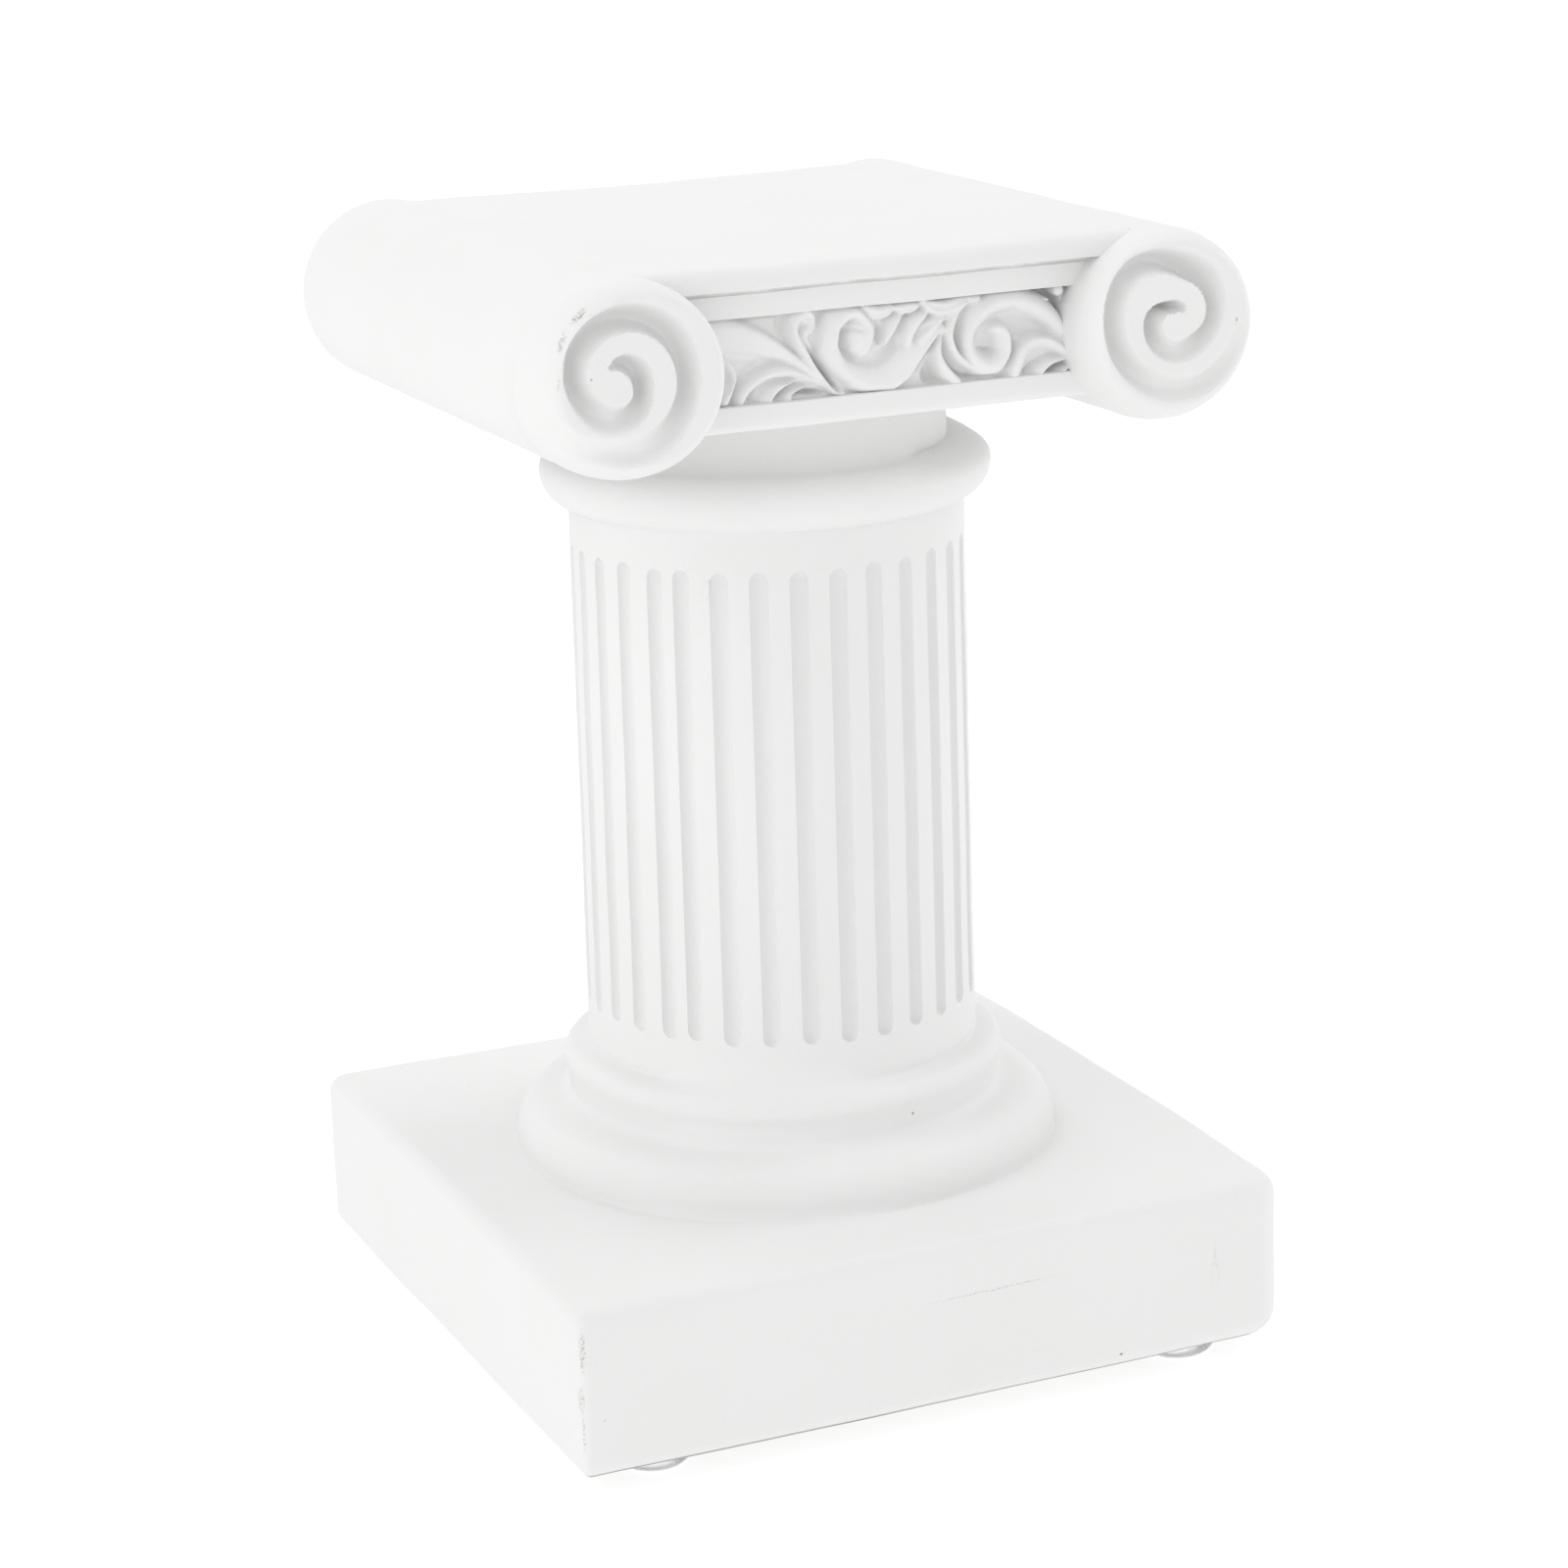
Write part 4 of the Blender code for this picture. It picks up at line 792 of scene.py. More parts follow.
def groove_depth(x, z, spiral):
    """Depth of a roll end's spiral groove, steep on its narrow side and gentle on its wide one."""
    rows = smooth_path(spiral["rows"], 6)
    turned = np.arange(len(rows)) * math.pi / 4 / 6
    right, up = x - spiral["centre"][0], z - spiral["centre"][1]
    radius = np.hypot(right, up)
    angle = (spiral["way"] * (np.arctan2(up, right) - math.radians(spiral["start"]))) % (2 * math.pi)
    depth = np.zeros_like(x)
    for lap in range(-1, 1 + int(turned[-1] / (2 * math.pi)) + 1):
        here = angle + lap * 2 * math.pi
        middle, outer, inner, deep = (np.interp(here, turned, rows[:, k]) for k in range(4))
        fading = np.clip(1 - np.maximum(-here, here - turned[-1]) * middle / 0.4, 0, 1)
        width = np.where(radius > middle, outer, inner) * 1.3
        away = np.clip(np.abs(radius - middle) / width, 0, 1)
        depth = np.maximum(depth, deep * fading * (1 - away**2) ** (0.9 + 0.8 * np.clip(width - 0.7, 0, 1)))
    return depth


def zipper(first, second, first_start, second_start):
    """Triangles between two closed rings of different counts, both given by rising angles."""
    faces = []
    i = j = 0
    n, m = len(first), len(second)
    while i < n or j < m:
        next_first = first[(i + 1) % n] + (360 if i + 1 >= n else 0)
        next_second = second[(j + 1) % m] + (360 if j + 1 >= m else 0)
        a, b = first_start + i % n, second_start + j % m
        if j >= m or (i < n and next_first <= next_second):
            faces.append((a, first_start + (i + 1) % n, b))
            i += 1
        else:
            faces.append((a, second_start + (j + 1) % m, b))
            j += 1
    return faces


def new_piece(name, points, faces):
    """An object from points in millimetres, with its faces turned outwards."""
    mesh = bpy.data.meshes.new(name)
    mesh.from_pydata((np.asarray(points) * MM).tolist(), [], faces)
    bm = bmesh.new()
    bm.from_mesh(mesh)
    bmesh.ops.recalc_face_normals(bm, faces=bm.faces[:])
    bm.to_mesh(mesh)
    bm.free()
    piece = bpy.data.objects.new(name, mesh)
    bpy.context.scene.collection.objects.link(piece)
    return piece


def ring_piece(name, rings, angles=None, fans=True):
    """A closed piece through rings of points. Rings of unlike counts are zipped by their angles."""
    starts = np.cumsum([0] + [len(ring) for ring in rings]).tolist()
    faces = []
    for k in range(len(rings) - 1):
        n = len(rings[k])
        if n == len(rings[k + 1]):
            i = np.arange(n)
            j = (i + 1) % n
            quads = np.stack([starts[k] + i, starts[k] + j, starts[k + 1] + j, starts[k + 1] + i], 1)
            faces += quads.tolist()
        else:
            faces += zipper(angles[k], angles[k + 1], starts[k], starts[k + 1])
    points = [np.asarray(ring) for ring in rings]
    centre = starts[-1]
    for ring, start in ((points[0], starts[0]), (points[-1], starts[-2])):
        around = [start + i for i in range(len(ring))]
        if fans:
            points.append(ring.mean(0)[None])
            faces += [(a, b, centre) for a, b in zip(around, around[1:] + around[:1])]
            centre += 1
        else:
            faces.append(around)
    return new_piece(name, np.concatenate(points), faces)


def ring_points(turn, radius, z):
    """Points of a ring round the column's axis. The radius and the height may differ from point to point."""
    return np.column_stack([radius * np.cos(turn), radius * np.sin(turn), np.broadcast_to(z, turn.shape)])


def quarter(start, end, steps, round_first):
    """Points after start of a quarter ellipse to end, which leaves start along the radius if round_first."""
    turn = np.pi / 2 * np.arange(1, steps + 1) / steps
    along, across = np.sin(turn), 1 - np.cos(turn)
    shares = np.stack([along, across] if round_first else [across, along], 1)
    return [tuple(np.array(start) + (np.array(end) - np.array(start)) * s) for s in shares]


def plinth_piece(sizes):
    """The block, with edges that differ a little from side to side as the mould left them."""
    half, top = sizes.side / MM / 2, PLINTH_BOTTOM + sizes.height / MM
    corner = sizes.corner / MM
    radii = (corner, corner * 0.55, sizes.front_corner / MM, corner)

    def on_corner(c, quarters, inset):
        """A point of a corner's arc at an inset, where its turn counts in quarters of a circle."""
        radius = max(radii[c % 4] - inset, SMALLEST_RADIUS)
        reach = np.array(PLINTH_CORNERS[c % 4]) * (half - inset - radius)
        turn = math.pi / 2 * quarters
        return reach + radius * np.array([math.cos(turn), math.sin(turn)])

    def plan(insets):
        """Points round the block, corner by corner, at an inset for each point."""
        points = []
        insets = iter(insets)
        for c in range(4):
            points += [on_corner(c, c + i / CORNER_STEPS, next(insets)) for i in range(CORNER_STEPS + 1)]
            for i in range(1, SIDE_STEPS):
                t, inset = i / SIDE_STEPS, next(insets)
                points.append(on_corner(c, c + 1, inset) * (1 - t) + on_corner(c + 1, c + 1, inset) * t)
        return np.array(points)

    # The front's top edge is sharper than the rest, and the right corners are worn by up to a millimetre
    count = 4 * (CORNER_STEPS + SIDE_STEPS)
    outline = plan(np.zeros(count))
    facing = np.arctan2(outline[:, 1], outline[:, 0])
    from_front = np.abs(np.angle(np.exp(1j * (facing + math.pi / 2))))
    front = np.clip(1.6 - from_front * 2 / 1.1, 0, 1)
    worn = np.abs(np.sin(2 * facing)) ** 12 * (outline[:, 0] > 0)
    above = sizes.top_edge / MM * (1 - front) + sizes.front_edge / MM * front + worn
    below = sizes.bottom / MM + worn
    levels = [(inset, PLINTH_BOTTOM) for inset in (36, 20, 10, 5)]
    for turn in np.radians(np.linspace(0, 90, 8)):
        levels.append((below * (1 - np.sin(turn)), PLINTH_BOTTOM + below * (1 - np.cos(turn))))
    low, high = PLINTH_BOTTOM + below, top - above
    levels += [(0, low + (high - low) * t) for t in np.linspace(0, 1, 9)[1:-1]]
    for turn in np.radians(np.linspace(0, 90, 9)):
        levels.append((above * (1 - np.cos(turn)), top - above * (1 - np.sin(turn))))
    levels += [(inset, top) for inset in (3.2, 4.5, 7, 10, 14, 20, 30)]
    rings = []
    for inset, z in levels:
        points = np.column_stack([plan(np.broadcast_to(inset, count)), np.broadcast_to(z, count)])
        away = points - SWELL_MIDDLE
        normal = np.sign(away) * (np.abs(away) / SWELL_HALF_SIZE) ** 12
        normal /= np.linalg.norm(normal, axis=1)[:, None]
        rings.append(points + normal * np.minimum(uneven(points, "plinth") - 0.08, 0)[:, None])
    return ring_piece("plinth", rings)


def steps_from(radius, z, *steps):
    """Points of a turned profile at steps (outwards, upwards) from a radius and a height."""
    return [(radius + out, z + up) for out, up in steps]


def turned_rings(crisp, soft, softness):
    """Rings through a profile that goes from its crisp to its soft form by the softness at each angle."""
    turn = np.radians(ROUND_ANGLES)
    for (radius, z), (soft_radius, soft_z) in zip(crisp, soft):
        at_radius, at_z = radius + (soft_radius - radius) * softness, z + (soft_z - z) * softness
        at = ring_points(turn, at_radius, at_z)
        yield ring_points(turn, at_radius + uneven(at, "mouldings"), at_z)


def base_rings(sizes, plinth_top, softness):
    """Foot, small hollow and torus, up to where the shaft starts."""
    foot, hollow, torus = sizes.foot / MM, sizes.hollow / MM, sizes.torus / MM
    shaft = sizes.bottom / MM
    turns = np.radians(np.linspace(4, 52, 9))
    swell = steps_from(
        foot, plinth_top + 0.8, *((FOOT_ROUND * (math.cos(t) - 1), FOOT_ROUND * math.sin(t)) for t in turns)
    )
    crisp = steps_from(foot, plinth_top, (0.2, -0.6), (0.1, -0.02), (0.02, 0.25)) + swell
    crisp += steps_from(foot, FOOT_TOP, (-3.3, -0.65), (-4.7, -0.28), (-6.1, 0))
    crisp.append((hollow + 0.5, FOOT_TOP + 0.45))
    crisp += steps_from(hollow, HOLLOW_TOP, (0, 0), (0.05, 0.9))
    crisp += steps_from(torus, TORUS_MIDDLE, (-0.3, -1.6), (0, 0), (0, 0.6), (-0.35, 1.6))
    crisp.append((torus - 1.0, SHAFT_BOTTOM - 0.6))
    crisp += steps_from(
        shaft, SHAFT_BOTTOM, (1.3, -0.28), (0.6, -0.1), (0.1, 0.02), (-0.08, 0.25), (0, 0.8), (0, 1.9)
    )
    soft = steps_from(foot, plinth_top, (1.3, -0.6), (0.75, -0.05), (0.3, 0.35)) + swell
    soft += steps_from(foot, FOOT_TOP, (-3.3, -0.65), (-4.7, -0.2), (-6.0, 0.25))
    soft.append((hollow + 0.9, FOOT_TOP + 0.8))
    soft += steps_from(hollow, HOLLOW_TOP, (0.45, 0.4), (0.35, 1.1))
    soft += steps_from(torus, TORUS_MIDDLE, (-0.35, -1.5), (-0.1, -0.3), (-0.3, 0.5), (-0.8, 1.5))
    soft.append((torus - 1.35, SHAFT_BOTTOM - 0.5))
    soft += steps_from(
        shaft, SHAFT_BOTTOM, (1.5, 0), (1.1, 0.5), (0.75, 1.1), (0.45, 1.8), (0.2, 2.5), (0.05, 3.1)
    )
    return list(turned_rings(smooth_path(crisp, 2), smooth_path(soft, 2), softness))


def flute_middles():
    """Middle angle of each flute, from 0 to 360, lowest first."""
    pitch = 360 / (2 * FLUTES_PER_HALF)
    front = [SEAM_ANGLE + SEAM_HALF_GAP + pitch * i for i in range(FLUTES_PER_HALF)]
    back = [SEAM_ANGLE - SEAM_HALF_GAP - pitch * i for i in range(FLUTES_PER_HALF)]
    return sorted(angle % 360 for angle in front + back)


def shaft_levels(half):
    """Levels of the fluted shaft as (height, turn), where the turn runs round a flute's half-round ends."""
    low, high = FLUTE_FOOT + half, FLUTE_HEAD - half
    turns = np.radians(np.linspace(90, 0, FLUTE_END_STEPS))
    levels = [(SHAFT_BOTTOM + 4.0, 0.0), (SHAFT_BOTTOM + 4.8, 0.0)]
    levels += [(low - half * math.sin(t), t) for t in turns]
    levels += [(z, 0.0) for z in np.linspace(low, high, 12)[1:-1]]
    levels += [(high + half * math.sin(t), t) for t in turns[::-1]]
    return levels + [(SHAFT_TOP - 3.6, 0.0), (SHAFT_TOP - 1.6, 0.0)]


def shaft_rings(sizes):
    """Rings of the fluted shaft and their angles. Points gather round each flute and draw in at its ends."""
    low_radius, high_radius = sizes.bottom / MM, sizes.top / MM
    half, deep = sizes.flute_width / MM / 2, sizes.flute_depth / MM
    bowl = (half**2 + deep**2) / (2 * deep)
    flutes = flute_middles()
    count = len(flutes)
    chance = np.random.default_rng(7)
    foot_shift, head_shift = (chance.uniform(-0.25, 0.25, count) for _ in range(2))
    width_share = chance.uniform(0.95, 1.05, count)
    rings, angles = [], []
    for z, t in shaft_levels(half):
        outside = z < FLUTE_FOOT - 0.01 or z > FLUTE_HEAD + 0.01
        reach = 0.0 if outside else math.sin(t)
        narrow = 1.0 if outside else max(math.cos(t), 0.04)
        radius = low_radius + (high_radius - low_radius) * (z - SHAFT_BOTTOM) / (SHAFT_TOP - SHAFT_BOTTOM)
        end, shifts = (FLUTE_FOOT, foot_shift) if z < SHAFT_MIDDLE else (FLUTE_HEAD, head_shift)
        near_end = math.exp(-(((z - end) / 5.0) ** 2))
        rows = []
        for k, middle in enumerate(flutes):
            for place in FLUTE_PLACES:
                sunk = 0.0
                if not outside and abs(place) < 1:
                    across = (place * half * narrow) ** 2 + (half * reach) ** 2
                    sunk = max(math.sqrt(max(bowl**2 - across, 0)) - (bowl - deep), 0)
                off = place * half * width_share[k] * narrow
                rows.append((middle + math.degrees(off / radius), radius - sunk, z + near_end * shifts[k]))
            after = (k + 1) % count
            following = flutes[after] + (360 if after == 0 else 0)
            rows.append(((middle + following) / 2, radius, z + near_end * (shifts[k] + shifts[after]) / 2))
        at_angles, at_radius, at_z = np.transpose(rows)
        turn = np.radians(at_angles)
        at = ring_points(turn, radius, at_z)
        rings.append(ring_points(turn, at_radius + uneven(at, "shaft"), at_z))
        angles.append(at_angles)
    return rings, angles


def turned_piece(sizes, plinth_top):
    """Everything turned: foot, hollow, torus, fluted shaft, echinus and neck."""
    shaft, echinus, neck = sizes.top / MM, sizes.echinus / MM, sizes.neck / MM
    from_front = (ROUND_ANGLES - FACING_ANGLE + 180) % 360 - 180
    soft_front = 1 / (1 + (np.abs(from_front + 5) / 26) ** 7)
    soft_left = np.exp(-(((from_front + 32) / 30) ** 4))
    soft_neck = 1 - np.clip((from_front - 38) / 16, 0, 1) * np.clip((125 - from_front) / 20, 0, 1)
    base = base_rings(sizes, plinth_top, soft_front)
    fluted, fluted_angles = shaft_rings(sizes)

    crisp = steps_from(shaft, SHAFT_TOP, (0, -1.1), (0, -0.5), (-0.03, -0.1), (0.08, 0.02), (0.3, 0.05))
    soft = steps_from(shaft, SHAFT_TOP, (0.05, -1.1), (0.2, -0.5), (0.4, -0.1), (0.6, 0.15), (0.9, 0.35))
    under = quarter((shaft + 0.25, SHAFT_TOP + 0.05), (echinus, ECHINUS_MIDDLE), 11, True)
    head = list(turned_rings(crisp + under, soft + under, soft_left))
    crisp = quarter((echinus, ECHINUS_MIDDLE), (neck + 0.3, NECK_BOTTOM), 10, False)
    soft = quarter((echinus, ECHINUS_MIDDLE), (neck + 2.9, NECK_BOTTOM + 0.1), 10, False)
    crisp += steps_from(neck, NECK_BOTTOM, (-0.08, 0.05), (0, 0.4), (0, 1.0), (0, 2.0), (0, 3.5), (0, 6.0))
    soft += steps_from(
        neck, NECK_BOTTOM, (2.2, 0.35), (1.5, 0.85), (0.9, 1.6), (0.4, 2.7), (0.1, 4.2), (0, 6.0)
    )
    inside = [(neck, SLAB_BOTTOM + 1.0)]
    head += turned_rings(crisp + inside, soft + inside, soft_neck)
    angles = [ROUND_ANGLES] * len(base) + fluted_angles + [ROUND_ANGLES] * len(head)
    return ring_piece("turned", base + fluted + head, angles)


def rounded_outline(corners):
    """A closed outline through (y, z, radius) corners, each rounded by its own radius."""
    out = []
    for i, (y, z, radius) in enumerate(corners):
        here = np.array([y, z])
        if radius <= 0:
            out.append(here)
            continue
        before = np.array(corners[i - 1][:2]) - here
        after = np.array(corners[(i + 1) % len(corners)][:2]) - here
        before, after = before / np.linalg.norm(before), after / np.linalg.norm(after)
        angle = math.acos(float(np.clip(before @ after, -1, 1)))
        reach = radius / math.tan(angle / 2)
        start, end = here + before * reach, here + after * reach
        steps = 7 if radius > 0.6 else 3
        for t in np.arange(steps + 1) / steps:
            out.append((1 - t) ** 2 * start + 2 * t * (1 - t) * here + t**2 * end)
    return np.array(out)


def slab_piece(sizes):
    """The slab between the rolls, seen from its side as one outline drawn out from roll to roll."""
    fascia, lip, band = (getattr(sizes, name) / MM / 2 for name in ("fascia", "lip", "band"))
    recess, back_floor = RECESS - sizes.floor / MM / 2, sizes.back_floor / MM / 2
    band_top, lip_bottom, lip_top = (SLAB_BOTTOM + up for up in (BAND_TOP, LIP_BOTTOM, LIP_TOP))

    # A ragged groove, cut in under the fascia, parts it from the lip
    cut_from, cut_depth = lip_top - 0.68, 0.4
    front = [(-band, SLAB_BOTTOM, 1.4), (-band, band_top, 0.2), (recess, band_top, 0.12)]
    front += [(recess, lip_bottom, 0.12), (-lip, lip_bottom, 0.2)]
    front += [(-lip, cut_from, 0.04), (cut_depth - lip, cut_from + 0.1, 0)]
    front += [(cut_depth - lip, lip_top, 0), (-fascia, lip_top, 0.28), (-fascia, SLAB_TOP, 2.4)]
    back = [(fascia, SLAB_TOP, 1.25), (fascia, lip_top, 0.28), (lip, lip_top, 0.12), (lip, lip_bottom, 0.22)]
    back += [(back_floor, lip_bottom, 0.12), (back_floor, band_top, 0.12), (band, band_top, 0.25)]
    back.append((band, SLAB_BOTTOM, 1.4))
    corners = rounded_outline(front + back)
    outline = []
    for a, b in zip(corners, np.roll(corners, -1, 0)):
        parts = max(1, int(np.linalg.norm(b - a) / 6.0))
        outline += [a + (b - a) * k / parts for k in range(parts)]
    reach = sizes.roll_spacing / MM / 2
    rings = []
    for x in np.linspace(-reach, reach, 73):
        points = np.column_stack([np.full(len(outline), x), outline])
        sunk = 0.35 * max(0.0, 1 - (x / 26) ** 2)
        points[:, 2] -= np.clip((points[:, 2] - SLAB_TOP + 3.0) / 3.0, 0, 1) * sunk
        points[:, 2] += uneven(points, "slab_height") - 0.05
        points[:, 1] += uneven(points, "slab_depth")
        at_cut = np.abs(points[:, 2] - lip_top + 0.4) < 0.6
        in_cut = at_cut & (points[:, 1] > 0.15 - lip) & (points[:, 1] < 0)
        ragged = np.clip(0.35 + uneven(points, "slab_groove"), 0, 0.9)
        points[:, 1] -= np.where(in_cut, 0.36 * ragged, 0)
        rings.append(points)
    return ring_piece("slab", rings, fans=False)


def frieze_piece(sizes):
    """The carved front as a fine block of relief that sits in the slab's recess."""
    floor = sizes.floor / MM / 2
    across, along = 360, 80
    levels = np.linspace(BAND_TOP - 0.3, LIP_BOTTOM + 0.3, along)
    x, up = np.meshgrid(np.linspace(*FRIEZE_ENDS, across), levels)
    covered = (up > LIP_BOTTOM + 0.05) | (up < BAND_TOP - 0.05)
    height = frieze_height(x, up) * sizes.relief
    height = np.where(covered, np.minimum(height, 1.0), height)
    front = np.stack([x, -floor - height, SLAB_BOTTOM + up], -1).reshape(-1, 3)
    index = np.arange(across * along).reshape(along, across)
    quads = np.stack([index[:-1, :-1], index[:-1, 1:], index[1:, 1:], index[1:, :-1]], -1)
    rim = np.concatenate([index[0], index[1:, -1], index[-1, -2::-1], index[-2:0:-1, 0]])
    behind = front[rim]
    behind[:, 1] = -floor + RECESS + 1.2
    back = across * along + np.arange(len(rim))
    sides = np.stack([rim, np.roll(rim, -1), np.roll(back, -1), back], 1)
    faces = quads.reshape(-1, 4).tolist() + sides.tolist() + [back.tolist()]
    return new_piece("frieze", np.concatenate([front, behind]), faces)


def bead_piece(sizes):
    """The round bead in the frieze's upper right corner, on a short stalk that reaches into the slab."""
    right, up, radius, rise = BEAD
    out = sizes.floor / MM / 2 + rise - radius
    turn = np.radians(np.arange(0, 360, 20))
    outline = [(radius * 0.9, RECESS - 0.1)]
    outline += [(radius * math.cos(a), -radius * math.sin(a)) for a in np.linspace(0, 1.45, 8)]
    rings = []
    for r, y in outline:
        ring = [right + r * np.cos(turn), np.full(len(turn), y - out), SLAB_BOTTOM + up + r * np.sin(turn)]
        rings.append(np.column_stack(ring))
    return ring_piece("bead", rings)


def roll_piece(name, side, spiral, behind, sizes):
    """A roll with grooved ends. Its front end is crisp at the top and inside, and rounder elsewhere."""
    radius, half = sizes.roll / MM, sizes.roll_length / MM / 2
    axis = side * sizes.roll_spacing / MM / 2
    flat = radius - ROLL_EDGE
    fine, plain = (np.arange(count) * 360 / count for count in (ROLL_FINE_COUNT, ROLL_PLAIN_COUNT))
    rings, angles = [], []

    def add(columns, r, y, path, facing):
        """A ring whose radius and depth may differ round the roll, with the groove cut in from its end."""
        turn = np.radians(columns)
        r, y = np.broadcast_to(r, turn.shape), np.broadcast_to(y, turn.shape)
        x, z = r * np.cos(turn), r * np.sin(turn)
        inside = np.clip((radius - 0.15 - r) / 0.5, 0, 1)
        depth = groove_depth(-facing * x, z, path) * sizes.grooves * inside
        at = np.column_stack([axis + x, y, ROLL_AXIS + z])
        at[:, 1] -= facing * (depth + uneven(at, "roll_end") + 0.05)
        rings.append(at)
        angles.append(columns)

    turn = np.radians(fine)
    outer = np.clip(0.5 + 0.5 * (side * np.cos(turn) * 0.75 - np.sin(turn) * 0.65), 0, 1)
    front_round, front_length = 1.5 + 1.9 * outer, 4.5 + 5.0 * outer
    for r in np.concatenate([[SMALLEST_RADIUS], np.linspace(0.03, 1.0, 36) * flat]):
        add(fine, r, -half, spiral, -1)
    for t in (0.15, 0.3, 0.45, 0.6, 0.8, 1.0):
        add(fine, flat + (radius - front_round - flat) * t, -half, spiral, -1)
    for t in np.radians(np.linspace(0, 90, 17))[1:]:
        add(fine, radius - front_round * (1 - np.sin(t)), -half + front_length * (1 - np.cos(t)), spiral, -1)
    add(fine, radius - 0.14 * outer, -half + front_length + 0.3, spiral, -1)

    turn = np.radians(plain)
    outwards = np.column_stack([np.cos(turn), 0 * turn, np.sin(turn)])
    for y in np.linspace(-30, 34, 12):
        at = outwards * radius + (axis, y, ROLL_AXIS)
        rings.append(at + np.minimum(uneven(at, "roll") - 0.06, 0)[:, None] * outwards)
        angles.append(plain)

    for t in np.radians(np.linspace(90, 0, 9)):
        add(plain, radius - ROLL_EDGE * (1 - np.sin(t)), half - 4.3 * (1 - np.cos(t)), behind, 1)
    for r in np.concatenate([np.linspace(1.0, 0.04, 26)[1:] * flat, [SMALLEST_RADIUS]]):
        add(plain, r, half, behind, 1)
    return ring_piece(name, rings, angles)


def mirrored(spiral):
    """The mirror image of a spiral."""
    right, up = spiral["centre"]
    return {**spiral, "centre": (-right, up), "start": 180 - spiral["start"], "way": -spiral["way"]}


def cast_together(body, others):
    """Unites the parts of the casting in one closed mesh, and takes the loose parts away."""
    for other in others:
        join = body.modifiers.new(other.name, "BOOLEAN")
        join.operation = "UNION"
        join.solver = "MANIFOLD"
        join.object = other
    united = bpy.data.meshes.new_from_object(body.evaluated_get(bpy.context.evaluated_depsgraph_get()))
    body.modifiers.clear()
    body.data = united
    fewest = sum(len(other.data.polygons) for other in others) / 2
    for other in others:
        bpy.data.objects.remove(other, do_unlink=True)
    if len(united.polygons) < fewest:
        raise RuntimeError("the casting's parts didn't unite")
    return body


def fill(tree, made, inputs):
    """Sets each socket of a node to its value, or links it where the value is another node's output."""
    for socket, value in inputs.items():
        if isinstance(value, bpy.types.NodeSocket):
            tree.links.new(value, made.inputs[socket])
        else:
            made.inputs[socket].default_value = value


def node(tree, kind, inputs, **settings):
    made = tree.nodes.new(kind)
    for name, value in settings.items():
        setattr(made, name, value)
    fill(tree, made, inputs)
    return made


def maths(tree, operation, first, second, clamp=False):
    made = node(tree, "ShaderNodeMath", {0: first, 1: second}, operation=operation, use_clamp=clamp)
    return made.outputs[0]


def times(tree, first, second):
    return maths(tree, "MULTIPLY", first, second)


def total(tree, *values, clamp=False):
    """Sum of two or more values, held to 0 to 1 at the end if clamp is true."""
    result = values[0]
    for value in values[1:-1]:
        result = maths(tree, "ADD", result, value)
    return maths(tree, "ADD", result, values[-1], clamp)


def vector_maths(tree, operation, *values):
    made = node(tree, "ShaderNodeVectorMath", dict(enumerate(values)), operation=operation)
    return made.outputs["Value" if operation == "LENGTH" else "Vector"]


def noise(tree, where, scale, detail=2.0, roughness=0.5, output="Fac"):
    """Noise whose scale counts in waves per metre."""
    inputs = {"Vector": where, "Scale": scale, "Detail": detail, "Roughness": roughness}
    return node(tree, "ShaderNodeTexNoise", inputs).outputs[output]


def ramp(tree, value, low, high):
    """0 up to low, 1 from high on, and a straight rise between."""
    made = node(tree, "ShaderNodeMapRange", {"Value": value, "From Min": low, "From Max": high})
    return made.outputs["Result"]


def blend_colours(tree, factor, first, second):
    inputs = {"Factor": factor, 6: first, 7: second}
    return node(tree, "ShaderNodeMix", inputs, data_type="RGBA").outputs[2]


def bump(tree, shader, height, strength, distance):
    made = node(tree, "ShaderNodeBump", {"Height": height, "Strength": strength, "Distance": distance})
    fill(tree, shader, {"Normal": made.outputs["Normal"]})


def mark_mask(tree, where, middle, half, tilt):
    """1 inside a small tilted ellipsoid and 0 outside, with a soft edge."""
    placed = node(tree, "ShaderNodeMapping", {
        "Vector": where,
        "Location": [MM * value for value in middle],
        "Rotation": (0.0, math.radians(tilt), 0.0),
        "Scale": [MM * value for value in half],
    }, vector_type="TEXTURE")
    return ramp(tree, vector_maths(tree, "LENGTH", placed.outputs["Vector"]), 1.0, 0.55)


def new_material(name):
    """A material with nodes, with its tree and its shader."""
    made = bpy.data.materials.new(name)
    made.use_nodes = True
    return made, made.node_tree, made.node_tree.nodes["Principled BSDF"]


